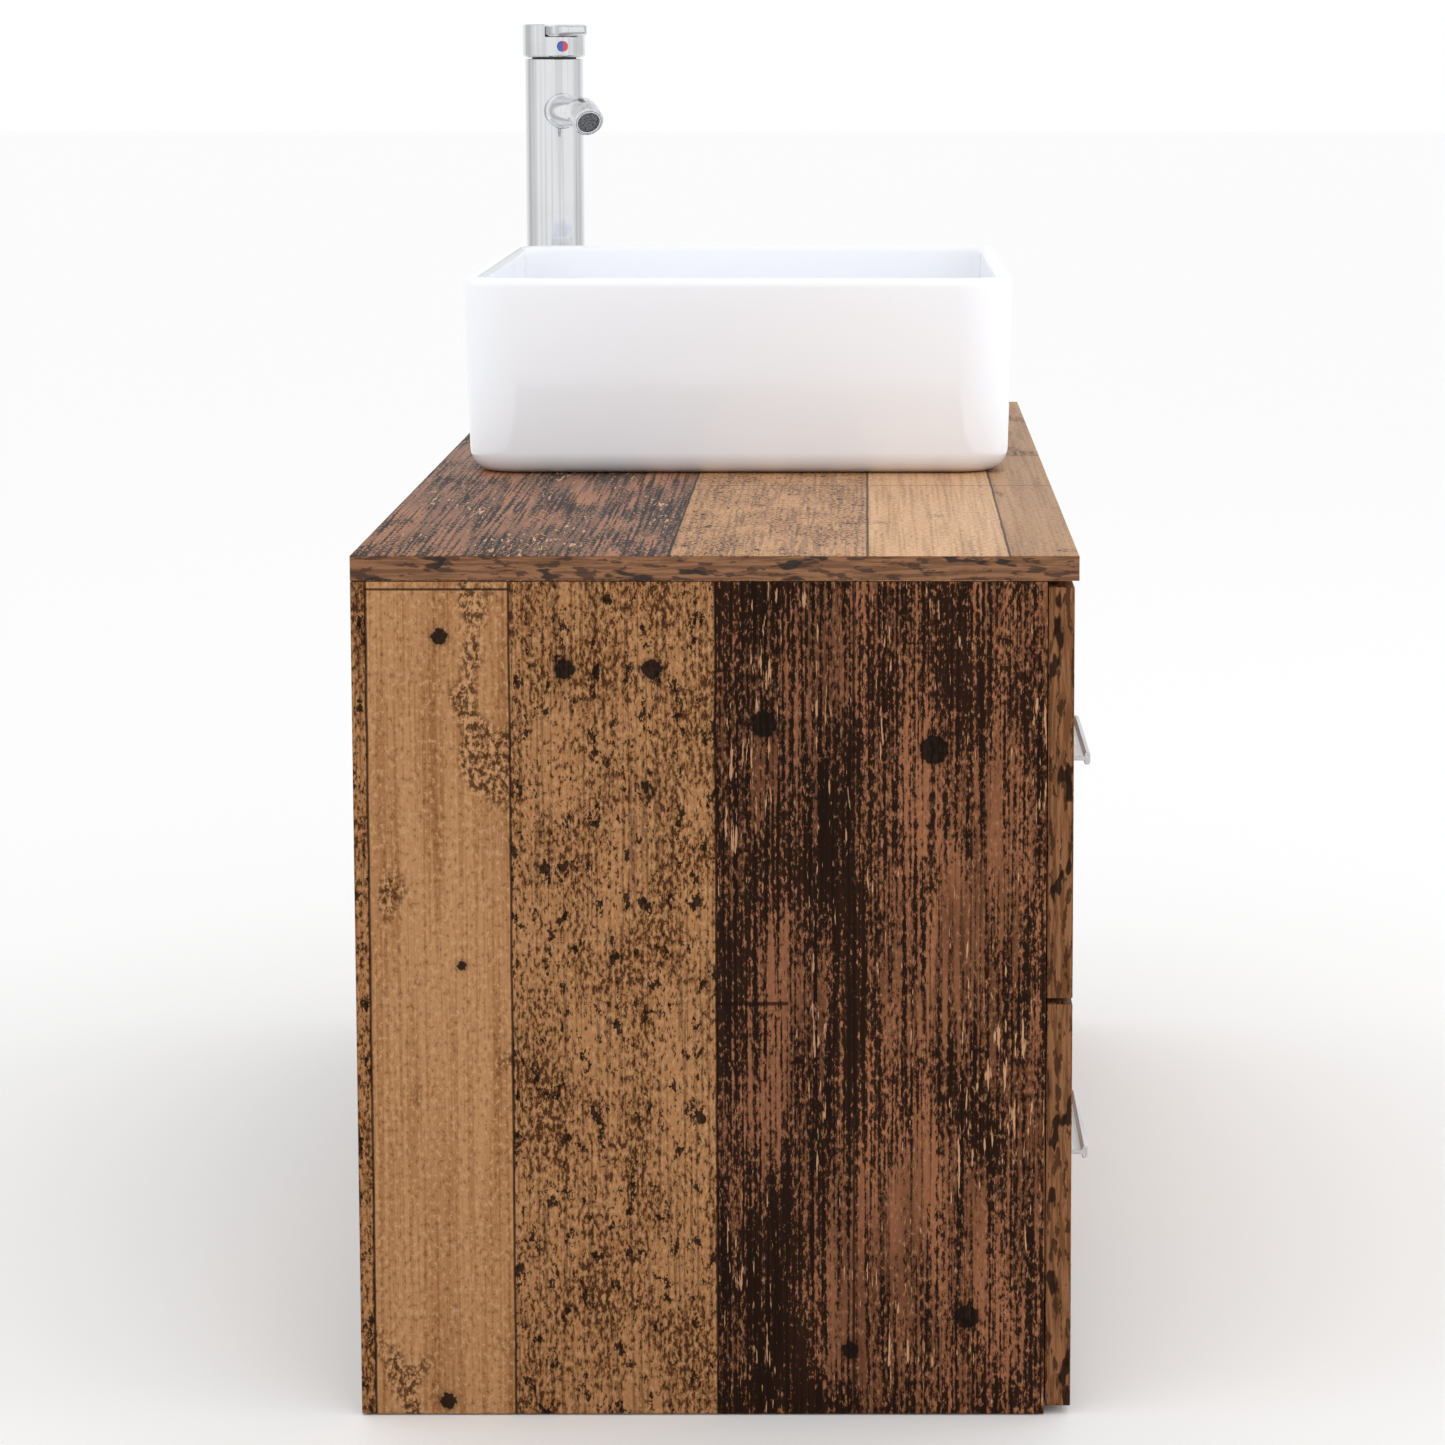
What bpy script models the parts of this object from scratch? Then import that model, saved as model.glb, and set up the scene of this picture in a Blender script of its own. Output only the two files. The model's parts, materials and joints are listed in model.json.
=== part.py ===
"""A vessel basin on a wall-hung vanity cabinet, as an assembly of separate pieces.

Blender 4.5. Metres, +Z up. The front faces -Y, the back lies against a wall at +Y, and X runs along
the width. The origin is the centre of the bounding box's underside. The cabinet has two drawers at
the left and a pair of doors at the right, under the basin. The tap stands at the back right corner.
"""

import math

import bmesh
import bpy
from mathutils import Matrix, Vector

# ---------------------------------------------------------------- driving dimensions
WIDTH = 1.000
DEPTH = 0.420
CABINET_HEIGHT = 0.510
BOARD = 0.015
TOUCH_GAP = 0.0003

TOP_OVERHANG = 0.0025
FRONT_STANDOFF = 0.0007
FRONT_GAP = 0.0035
FRONT_SIDE_GAP = 0.0015
BOTTOM_REVEAL = 0.0045
DRAWER_COLUMN = 0.380
RAIL_HEIGHT = 0.090

HANDLE_LENGTH = 0.137
HANDLE_REACH = 0.016
HANDLE_LIP_HEIGHT = 0.0078
HANDLE_LIP_THICK = 0.0036
HANDLE_SHELF = 0.0028
HANDLE_FOOT = 0.0130
HANDLE_FOOT_THICK = 0.0020
DOOR_HANDLE_INSET = 0.034

DRAWER_TRAVEL = 0.250
DRAWER_BACK_SPACE = 0.070
DRAWER_BOX_DEPTH = DEPTH - DRAWER_BACK_SPACE
DRAWER_BOX_HEIGHT = 0.140
DRAWER_BOX_BOARD = 0.012
DRAWER_BOX_LIFT = 0.036
DRAWER_FLOOR = 0.003
DRAWER_GROOVE_DEPTH = 0.006
DRAWER_GROOVE_LIFT = 0.010

RUNNER_SPACE = 0.0127
RUNNER_END_CLEARANCE = 0.005
RUNNER_LENGTH = DRAWER_BOX_DEPTH - RUNNER_END_CLEARANCE
RUNNER_STEEL = 0.0012
RUNNER_CHANNEL_HEIGHT = 0.020
RUNNER_CHANNEL_WIDTH = 0.0090
RUNNER_STRIP_HEIGHT = 0.022
ROLLER_RADIUS = 0.0084
ROLLER_WIDTH = 0.0050
ROLLER_INSET = 0.0030
ROLLER_AXLE = 0.0025
ROLLER_END = 0.014
RUNNER_STOP = (0.0072, 0.0040, 0.0040)
ROLLER_STOP_CLEARANCE = 0.0005

HINGE_CUP_RADIUS = 0.0172
HINGE_CUP_DEPTH = 0.0115
HINGE_CUP_WALL = 0.0010
HINGE_CUP_PANEL_CLEARANCE = 0.001
HINGE_CUP_EDGE = BOARD + HINGE_CUP_RADIUS + HINGE_CUP_PANEL_CLEARANCE
HINGE_BORE_CLEARANCE = 0.0004
HINGE_FLANGE = (0.0160, 0.0540, 0.0012)
HINGE_ARM_HEIGHT = 0.014
HINGE_ARM_REACH = 0.072
HINGE_ARM_THICK = 0.012
HINGE_NOSE_WIDTH = 0.014
HINGE_NOSE_DEPTH = 0.008
HINGE_FROM_DOOR_END = 0.075
HINGE_PLATE = (0.0300, 0.0460)

BRACKET_LEG = 0.040
BRACKET_HEIGHT = 0.060
BRACKET_STEEL = 0.0025
BRACKET_HOLE = 0.004

BASIN_LENGTH = 0.440
BASIN_WIDTH = 0.375
BASIN_HEIGHT = 0.133
BASIN_CORNER = 0.038
BASIN_FOOT_ROUND = 0.015
BASIN_DRAFT = 0.003
BASIN_WALL = 0.012
BASIN_FLOOR = 0.020
BASIN_FLOOR_FALL = 0.005
BASIN_BOWL_ROUND = 0.024
BASIN_END_GAP = 0.122
DRAIN_HOLE = 0.0225

WASTE_TAIL = 0.0200
WASTE_BORE = 0.0175
WASTE_TAIL_DROP = 0.050
WASTE_FLANGE = 0.0310
WASTE_FLANGE_THICK = 0.0030
WASTE_BAR = (0.006, 0.004)
PLUG_RADIUS = 0.0285
PLUG_THICK = 0.005
PLUG_STEM = 0.0035
PLUG_STEM_GUIDED = 0.037
PLUG_TRAVEL = 0.008
PLUG_STEM_LENGTH = PLUG_STEM_GUIDED + PLUG_TRAVEL
LOCKNUT_RADIUS = 0.0300
LOCKNUT_HEIGHT = 0.014
GASKET_THICK = 0.003

PIPE_RADIUS = 0.0160
PIPE_WALL = 0.0020
PIPE_CLEARANCE = 0.0005
TRAP_RADIUS = 0.0320
TRAP_WALL = 0.0030
TRAP_TOP = 0.375
TRAP_BODY_HEIGHT = 0.085
TRAP_CUP_HEIGHT = 0.050
TRAP_OUTLET_DROP = 0.030
COLLAR_HEIGHT = 0.024
ROSETTE_RADIUS = 0.034
ROSETTE_THICK = 0.009

TAP_TURN = math.radians(20)
TAP_FROM_END = 0.045
TAP_FROM_WALL = 0.050
TAP_HEIGHT = 0.304
TAP_RADIUS = 0.0230
TAP_WALL = 0.0030
TAP_HEAD_HEIGHT = 0.026
TAP_HEAD_RADIUS = 0.0247
TAP_HEAD_WALL = 0.0030
TAP_HEAD_GAP = 0.0012
TAP_HEAD_SKIRT = 0.011
TAP_CHAMFER = 0.0008
TAP_FLOOR = 0.006
TAP_HOLE = 0.0165
TAP_SHANK = 0.0150
TAP_SHANK_LENGTH = 0.060
TAP_LOCKNUT = 0.0230
SPOUT_HEIGHT = 0.236
SPOUT_RADIUS = 0.0120
SPOUT_BORE = 0.0085
SPOUT_REACH = 0.096
SPOUT_BEND = math.radians(30)
SPOUT_BEND_RADIUS = 0.026
SPOUT_NOSE = 0.008
SPOUT_COLLAR_RADIUS = 0.0140
SPOUT_COLLAR = 0.0030
AERATOR_RADIUS = 0.0098
AERATOR_LENGTH = 0.010
CARTRIDGE_RADIUS = 0.0175
CARTRIDGE_STEM = 0.0040
LEVER_WIDTH = 0.026
LEVER_THICK = 0.0100
LEVER_TIP_THICK = 0.0080
LEVER_REACH = 0.056
LEVER_PIVOT_BACK = 0.004
LEVER_CLEARANCE = 0.0005
MARKER_RADIUS = 0.0042
MARKER_THICK = 0.0012
MARKER_LIFT = 0.0087

ROUND_STEPS = 32
PLUMBING_STEPS = 20

# ---------------------------------------------------------------- places worked out from them
WALL_Y = (DEPTH + HANDLE_REACH - TOP_OVERHANG) / 2
TOP_FRONT_Y = WALL_Y - DEPTH
FRONT_FACE_Y = TOP_FRONT_Y + TOP_OVERHANG
FRONT_BACK_Y = FRONT_FACE_Y + BOARD
CARCASS_FRONT_Y = FRONT_BACK_Y + FRONT_STANDOFF
CARCASS_TOP = CABINET_HEIGHT - BOARD
INNER_LEFT = -WIDTH / 2 + BOARD
INNER_RIGHT = WIDTH / 2 - BOARD
DIVIDER_X = -WIDTH / 2 + DRAWER_COLUMN
FRONT_HEIGHT = (CARCASS_TOP - BOTTOM_REVEAL - 2 * FRONT_GAP) / 2
DOOR_HEIGHT = 2 * FRONT_HEIGHT + FRONT_GAP
DOORS_MIDDLE_X = (DIVIDER_X + WIDTH / 2) / 2
BASIN_X = WIDTH / 2 - BASIN_END_GAP - BASIN_LENGTH / 2
BASIN_Y = (WALL_Y + TOP_FRONT_Y) / 2
BASIN_BOTTOM = CABINET_HEIGHT + TOUCH_GAP
DRAIN_TOP = BASIN_BOTTOM + BASIN_FLOOR
TAP_X = WIDTH / 2 - TAP_FROM_END
TAP_Y = WALL_Y - TAP_FROM_WALL
HEAD_BOTTOM = TAP_HEIGHT - TAP_HEAD_HEIGHT
LEVER_PIVOT_Z = TAP_HEIGHT - LEVER_THICK / 2


# ---------------------------------------------------------------- scene, materials and helpers
def clear_scene():
    for obj in list(bpy.data.objects):
        bpy.data.objects.remove(obj)


def new_collection(name):
    collection = bpy.data.collections.new(name)
    bpy.context.scene.collection.children.link(collection)
    return collection


clear_scene()
PARTS = new_collection("vessel_sink_on_vanity")
CUTTERS = new_collection("cutters")


def new_material(name, colour, roughness, metallic=0.0):
    material = bpy.data.materials.new(name)
    material.use_nodes = True
    shader = material.node_tree.nodes["Principled BSDF"]
    shader.inputs["Base Color"].default_value = (*colour, 1.0)
    shader.inputs["Roughness"].default_value = roughness
    shader.inputs["Metallic"].default_value = metallic
    return material


WOOD = new_material("reclaimed_wood_board", (0.30, 0.16, 0.08), 0.60)
DRAWER_WOOD = new_material("drawer_board", (0.62, 0.47, 0.33), 0.60)
CERAMIC = new_material("glazed_ceramic", (0.90, 0.90, 0.92), 0.08)
CHROME = new_material("polished_chrome", (0.85, 0.86, 0.88), 0.05, 1.0)
ALUMINIUM = new_material("satin_aluminium", (0.72, 0.73, 0.75), 0.30, 1.0)
STEEL = new_material("zinc_plated_steel", (0.62, 0.63, 0.65), 0.35, 1.0)
PLASTIC = new_material("white_plastic", (0.88, 0.88, 0.86), 0.35)
RUBBER = new_material("black_rubber", (0.03, 0.03, 0.03), 0.80)
CARTRIDGE_PLASTIC = new_material("grey_plastic", (0.35, 0.36, 0.38), 0.50)
MARKER = new_material("marker_enamel", (0.55, 0.06, 0.08), 0.25)


def mesh_from(name, shape):
    """The bmesh written to a new mesh, with its round faces shaded smooth."""
    bmesh.ops.recalc_face_normals(shape, faces=shape.faces)
    mesh = bpy.data.meshes.new(name)
    shape.to_mesh(mesh)
    shape.free()
    mesh.shade_smooth()
    mesh.set_sharp_from_angle(angle=math.radians(35))
    return mesh


def new_part(name, mesh, material, place=None, holder=None, collection=PARTS):
    """An object in its holder's own frame, which is the world's frame when there is no holder."""
    obj = bpy.data.objects.new(name, mesh)
    mesh.materials.append(material)
    collection.objects.link(obj)
    obj.parent = holder
    obj.matrix_basis = place if place is not None else Matrix.Identity(4)
    return obj


def new_joint(name, location, turn=0.0):
    """An empty on a joint's axis. Its pieces are placed in its frame."""
    empty = bpy.data.objects.new(name, None)
    PARTS.objects.link(empty)
    empty.location = location
    empty.rotation_euler.z = turn
    return empty


def at(x, y, z, turn_x=0.0, turn_y=0.0, turn_z=0.0):
    turn = Matrix.Rotation(turn_z, 4, "Z") @ Matrix.Rotation(turn_y, 4, "Y")
    return Matrix.Translation((x, y, z)) @ turn @ Matrix.Rotation(turn_x, 4, "X")


def from_world(joint, matrix):
    """A place given in the world's frame, in an unturned joint's own frame."""
    return Matrix.Translation(-joint.location) @ matrix if joint else matrix


def box_mesh(name, size):
    shape = bmesh.new()
    bmesh.ops.create_cube(shape, size=1.0)
    bmesh.ops.scale(shape, vec=size, verts=shape.verts)
    return mesh_from(name, shape)


def board(name, low, high, material=WOOD, joint=None):
    """A flat board between two corners given in the world's frame."""
    low, high = Vector(low), Vector(high)
    place = from_world(joint, Matrix.Translation((low + high) / 2))
    return new_part(name, box_mesh(name, high - low), material, place, joint)


def rod_mesh(name, radius, length, steps=ROUND_STEPS):
    """A cylinder along Z, centred on the origin."""
    shape = bmesh.new()
    bmesh.ops.create_cone(
        shape, cap_ends=True, segments=steps, radius1=radius, radius2=radius, depth=length
    )
    return mesh_from(name, shape)


def turned(name, profile, material, place, holder=None, steps=ROUND_STEPS, closed=True):
    """A profile of (radius, height) turned about Z. Closed makes a ring, open meets the axis."""
    area = sum(
        r * next_z - next_r * z for (r, z), (next_r, next_z) in zip(profile, profile[1:] + profile[:1])
    )
    if area > 0:
        profile = profile[::-1]
    shape = bmesh.new()
    points = [shape.verts.new((radius, 0.0, height)) for radius, height in profile]
    pairs = list(zip(points, points[1:]))
    if closed:
        pairs.append((points[-1], points[0]))
    for pair in pairs:
        shape.edges.new(pair)
    mesh = bpy.data.meshes.new(name)
    shape.to_mesh(mesh)
    shape.free()
    obj = new_part(name, mesh, material, place, holder)
    screw = obj.modifiers.new("turn", "SCREW")
    screw.steps = steps
    screw.render_steps = steps
    screw.use_merge_vertices = True
    screw.merge_threshold = 0.00001
    screw.use_smooth_shade = True
    return obj


def outline_mesh(name, points, length):
    """A flat outline in XY, filled and extruded along Z, centred on the origin."""
    curve = bpy.data.curves.new(name, "CURVE")
    curve.dimensions = "2D"
    curve.fill_mode = "BOTH"
    curve.extrude = length / 2
    spline = curve.splines.new("POLY")
    spline.points.add(len(points) - 1)
    for point, (x, y) in zip(spline.points, points):
        point.co = (x, y, 0.0, 1.0)
    spline.use_cyclic_u = True
    drawn = bpy.data.objects.new(name, curve)
    PARTS.objects.link(drawn)
    graph = bpy.context.evaluated_depsgraph_get()
    filled = bpy.data.meshes.new_from_object(drawn.evaluated_get(graph))
    bpy.data.objects.remove(drawn)
    bpy.data.curves.remove(curve)
    shape = bmesh.new()
    shape.from_mesh(filled)
    bpy.data.meshes.remove(filled)
    bmesh.ops.remove_doubles(shape, verts=shape.verts, dist=0.00001)
    return mesh_from(name, shape)


def rounded(points, radius, steps=3):
    """The outline with each corner replaced by an arc, from its incoming to its outgoing edge."""
    smooth = []
    for i, corner in enumerate(points):
        corner = Vector(corner)
        before = Vector(points[i - 1]) - corner
        after = Vector(points[(i + 1) % len(points)]) - corner
        reach = min(radius, before.length * 0.45, after.length * 0.45)
        start = corner + before.normalized() * reach
        end = corner + after.normalized() * reach
        for step in range(steps + 1):
            t = step / steps
            smooth.append(tuple(start.lerp(corner, t).lerp(corner.lerp(end, t), t)))
    return smooth


def combine(obj, tool_mesh, operation, place):
    """Cuts from, or joins to, an object a tool that is placed in the object's own frame."""
    tool = bpy.data.objects.new(f"{obj.name}_{operation.lower()}_{len(obj.modifiers)}", tool_mesh)
    CUTTERS.objects.link(tool)
    tool.parent = obj
    tool.matrix_basis = place
    tool.hide_render = True
    tool.display_type = "WIRE"
    boolean = obj.modifiers.new(operation.lower(), "BOOLEAN")
    boolean.operation = operation
    boolean.object = tool
    return obj


def cut(obj, tool_mesh, place):
    return combine(obj, tool_mesh, "DIFFERENCE", place)


def join(obj, tool_mesh, place):
    return combine(obj, tool_mesh, "UNION", place)


def lofted(name, rings, material, place):
    """Rings of equal count joined by faces, the last one back to the first, so the wall is closed."""
    shape = bmesh.new()
    loops = [[shape.verts.new(point) for point in ring] for ring in rings]
    for ring, following in zip(loops, loops[1:] + loops[:1]):
        for i, start in enumerate(ring):
            j = (i + 1) % len(ring)
            shape.faces.new((start, ring[j], following[j], following[i]))
    bmesh.ops.remove_doubles(shape, verts=shape.verts, dist=0.00001)
    return new_part(name, mesh_from(name, shape), material, place)


def rounded_ring(half_x, half_y, corner, height, steps=6):
    """Points round a rectangle with round corners, or round a circle if both halves are the corner."""
    ring = []
    for quarter, (side_x, side_y) in enumerate(((1, 1), (-1, 1), (-1, -1), (1, -1))):
        for step in range(steps + 1):
            angle = math.pi / 2 * (quarter + step / steps)
            x = side_x * (half_x - corner) + corner * math.cos(angle)
            y = side_y * (half_y - corner) + corner * math.sin(angle)
            ring.append((x, y, height))
    return ring


# ---------------------------------------------------------------- cabinet carcass
def make_carcass():
    top = board(
        "top_board",
        (-WIDTH / 2, TOP_FRONT_Y, CARCASS_TOP + TOUCH_GAP),
        (WIDTH / 2, WALL_Y, CABINET_HEIGHT),
    )
    drain_hole = rod_mesh("drain_hole", DRAIN_HOLE + TOUCH_GAP, 3 * BOARD)
    cut(top, drain_hole, at(BASIN_X, 0, 0))
    tap_hole = rod_mesh("tap_hole", TAP_HOLE, 3 * BOARD)
    cut(top, tap_hole, at(TAP_X, TAP_Y - BASIN_Y, 0))

    for side, name in ((-1, "side_panel_left"), (1, "side_panel_right")):
        outer, inner = side * WIDTH / 2, side * (WIDTH / 2 - BOARD)
        board(
            name,
            (min(outer, inner), CARCASS_FRONT_Y, 0),
            (max(outer, inner), WALL_Y, CARCASS_TOP),
        )
    left, right = INNER_LEFT + TOUCH_GAP, INNER_RIGHT - TOUCH_GAP
    board("bottom_panel", (left, CARCASS_FRONT_Y, 0), (right, WALL_Y, BOARD))
    rail_back = WALL_Y
    rail_front = WALL_Y - BOARD
    board(
        "hanging_rail",
        (left, rail_front, CARCASS_TOP - RAIL_HEIGHT),
        (right, rail_back, CARCASS_TOP),
    )
    board(
        "lower_back_rail",
        (left, rail_front, BOARD + TOUCH_GAP),
        (right, rail_back, BOARD + RAIL_HEIGHT),
    )
    board(
        "divider_panel",
        (DIVIDER_X - BOARD / 2, CARCASS_FRONT_Y, BOARD + TOUCH_GAP),
        (DIVIDER_X + BOARD / 2, rail_front - TOUCH_GAP, CARCASS_TOP),
    )


def make_wall_bracket(name, side):
    """A folded steel angle. One leg lies in the wall's plane and the other on the side panel."""
    leg, steel = BRACKET_LEG, BRACKET_STEEL
    outline = [(0, 0), (leg, 0), (leg, steel), (steel, steel), (steel, leg), (0, leg)]
    if side > 0:
        outline = [(-x, y) for x, y in reversed(outline)]
    outline = [(x, -y) for x, y in reversed(outline)]
    corner_x = side * (WIDTH / 2 - BOARD - TOUCH_GAP)
    middle_z = CARCASS_TOP - RAIL_HEIGHT - TOUCH_GAP - BRACKET_HEIGHT / 2
    bracket = new_part(
        name,
        outline_mesh(name, outline, BRACKET_HEIGHT),
        STEEL,
        at(corner_x, WALL_Y, middle_z),
    )
    hole = rod_mesh("bracket_hole", BRACKET_HOLE, 4 * steel, 12)
    cut(bracket, hole, at(-side * leg * 0.6, -steel / 2, 0, turn_x=math.pi / 2))


# ---------------------------------------------------------------- handles and fronts
def make_handle(name, x, z, joint, upright=False):
    """An extruded pull: a foot on the front, a shelf, and a lip that fingers hook behind."""
    reach, lip = HANDLE_REACH, HANDLE_LIP_THICK
    foot, shelf = HANDLE_FOOT / 2, HANDLE_SHELF / 2
    lip_half = HANDLE_LIP_HEIGHT / 2
    base = TOUCH_GAP + HANDLE_FOOT_THICK
    outline = [
        (TOUCH_GAP, -foot),
        (base, -foot),
        (base, -shelf),
        (reach - lip, -shelf),
        (reach - lip, -lip_half),
        (reach, -lip_half),
        (reach, lip_half),
        (reach - lip, lip_half),
        (reach - lip, shelf),
        (base, shelf),
        (base, foot),
        (TOUCH_GAP, foot),
    ]
    mesh = outline_mesh(name, rounded(outline, 0.0007, 2), HANDLE_LENGTH)
    outward = Matrix.Rotation(-math.pi / 2, 4, "Z")
    lie = Matrix.Rotation(0 if upright else math.pi / 2, 4, "Y")
    place = at(x, FRONT_FACE_Y, z) @ lie @ outward
    return new_part(name, mesh, ALUMINIUM, from_world(joint, place), joint)


def make_runner_pair(level, side, joint, strip_base):
    """A roller runner: a channel on the cabinet and a strip on the drawer, each with one roller.

    Both are drawn with X away from the cabinet's board, Y to the back and Z up, and mirrored for
    the right-hand side by drawing them with X reversed.
    """
    word = "left" if side < 0 else "right"
    wall_x = INNER_LEFT if side < 0 else DIVIDER_X - BOARD / 2
    steel, wide, high = RUNNER_STEEL, RUNNER_CHANNEL_WIDTH, RUNNER_CHANNEL_HEIGHT
    start_y = CARCASS_FRONT_Y + 0.001
    flip = -side
    channel = [
        (TOUCH_GAP, 0),
        (wide, 0),
        (wide, steel),
        (TOUCH_GAP + steel, steel),
        (TOUCH_GAP + steel, high - steel),
        (wide, high - steel),
        (wide, high),
        (TOUCH_GAP, high),
    ]
    outline = [(flip * x, z) for x, z in channel]
    if flip < 0:
        outline.reverse()
    upright = Matrix.Rotation(math.pi / 2, 4, "X")
    roller_z = high + 0.0040 - ROLLER_RADIUS
    channel_z = strip_base - 0.0043 - high
    name = f"cabinet_runner_{level}_{word}"
    fixed = new_part(
        name,
        outline_mesh(name, outline, RUNNER_LENGTH),
        STEEL,
        at(wall_x, start_y + RUNNER_LENGTH / 2, channel_z) @ upright,
    )
    # In the turned outline's own frame, X stays across, Y is up and Z points to the front.
    notch = box_mesh("notch", (0.030, 0.010, 2 * ROLLER_END + 0.004))
    cut(fixed, notch, at(flip * 0.0165, high, RUNNER_LENGTH / 2))
    roller_at = flip * (ROLLER_INSET + ROLLER_WIDTH / 2)
    across = Matrix.Rotation(math.pi / 2, 4, "Y")
    front_z = RUNNER_LENGTH / 2 - ROLLER_END
    axle_length = ROLLER_INSET
    axle = rod_mesh("axle", ROLLER_AXLE, axle_length, 10)
    join(fixed, axle, at(flip * (axle_length / 2 + 0.0008), roller_z, front_z) @ across)
    roller = rod_mesh("roller", ROLLER_RADIUS, ROLLER_WIDTH, 16)
    join(fixed, roller, at(roller_at, roller_z, front_z) @ across)
    # The drawer's roller comes up against this stop when the drawer has run out by its travel.
    back_z = -RUNNER_LENGTH / 2 + ROLLER_END
    stop_width, stop_height, stop_length = RUNNER_STOP
    stop_x = TOUCH_GAP + steel / 2 + stop_width / 2
    stop_z = back_z + DRAWER_TRAVEL + ROLLER_RADIUS + ROLLER_STOP_CLEARANCE + stop_length / 2
    join(fixed, box_mesh("stop", RUNNER_STOP), at(flip * stop_x, steel / 2 + stop_height / 2, stop_z))

    inner = RUNNER_SPACE - TOUCH_GAP
    web = inner - steel
    strip = [
        (ROLLER_INSET, 0),
        (inner, 0),
        (inner, RUNNER_STRIP_HEIGHT),
        (web, RUNNER_STRIP_HEIGHT),
        (web, steel),
        (ROLLER_INSET, steel),
    ]
    outline = [(flip * x, z) for x, z in strip]
    if flip < 0:
        outline.reverse()
    name = f"drawer_runner_{level}_{word}"
    place = at(wall_x, start_y + RUNNER_LENGTH / 2, strip_base) @ upright
    moving = new_part(
        name,
        outline_mesh(name, outline, RUNNER_LENGTH),
        STEEL,
        from_world(joint, place),
        joint,
    )
    drop = channel_z + high / 2 - strip_base
    tab_height = -drop + 0.006
    tab = box_mesh("tab", (steel, tab_height, 0.020))
    tab_x = flip * (inner - steel / 2 - 0.0004)
    join(moving, tab, at(tab_x, (drop - 0.004) / 2 + 0.0012, back_z))
    reach = inner - ROLLER_INSET - 0.001
    axle = rod_mesh("axle", ROLLER_AXLE, reach - ROLLER_WIDTH / 2, 10)
    axle_x = flip * (inner - 0.0012 - (reach - ROLLER_WIDTH / 2) / 2)
    join(moving, axle, at(axle_x, drop, back_z) @ across)
    roller = rod_mesh("roller", ROLLER_RADIUS, ROLLER_WIDTH, 16)
    join(moving, roller, at(roller_at, drop, back_z) @ across)


def make_drawer(level, front_low):
    """A front with its handle, a box of four boards and a floor, and a runner at each side."""
    name = f"{level}_drawer"
    middle_x = (-WIDTH / 2 + DIVIDER_X) / 2
    joint = new_joint(f"{name}_slide", (middle_x, FRONT_FACE_Y, front_low))
    front_high = front_low + FRONT_HEIGHT
    board(
        f"{name}_front",
        (-WIDTH / 2 + FRONT_SIDE_GAP, FRONT_FACE_Y, front_low),
        (DIVIDER_X - FRONT_SIDE_GAP, FRONT_BACK_Y, front_high),
        joint=joint,
    )
    make_handle(f"{name}_handle", middle_x, (front_low + front_high) / 2, joint)

    outer_left = INNER_LEFT + RUNNER_SPACE
    outer_right = DIVIDER_X - BOARD / 2 - RUNNER_SPACE
    box_front = FRONT_BACK_Y + TOUCH_GAP
    box_back = FRONT_BACK_Y + DRAWER_BOX_DEPTH
    low = front_low + DRAWER_BOX_LIFT
    high = low + DRAWER_BOX_HEIGHT
    groove_low = low + DRAWER_GROOVE_LIFT
    groove = box_mesh(
        "groove",
        (2 * DRAWER_GROOVE_DEPTH, DRAWER_BOX_DEPTH + 0.02, DRAWER_FLOOR + 2 * TOUCH_GAP),
    )
    groove_z = groove_low + DRAWER_FLOOR / 2 - (low + high) / 2
    inner_left = outer_left + DRAWER_BOX_BOARD
    inner_right = outer_right - DRAWER_BOX_BOARD
    for word, near, far, inside in (
        ("left", outer_left, inner_left, 1),
        ("right", inner_right, outer_right, -1),
    ):
        side = board(
            f"{name}_side_{word}",
            (near, box_front, low),
            (far, box_back, high),
            DRAWER_WOOD,
            joint,
        )
        cut(side, groove, at(inside * DRAWER_BOX_BOARD / 2, 0, groove_z))
    floor_top = groove_low + DRAWER_FLOOR
    board(
        f"{name}_back",
        (inner_left + TOUCH_GAP, box_back - DRAWER_BOX_BOARD, floor_top + TOUCH_GAP),
        (inner_right - TOUCH_GAP, box_back, high),
        DRAWER_WOOD,
        joint,
    )
    floor_inset = DRAWER_GROOVE_DEPTH - TOUCH_GAP
    board(
        f"{name}_floor",
        (inner_left - floor_inset, box_front + TOUCH_GAP, groove_low),
        (inner_right + floor_inset, box_back, floor_top),
        DRAWER_WOOD,
        joint,
    )
    strip_base = low + 0.002
    for side in (-1, 1):
        make_runner_pair(level, side, joint, strip_base)


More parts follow.
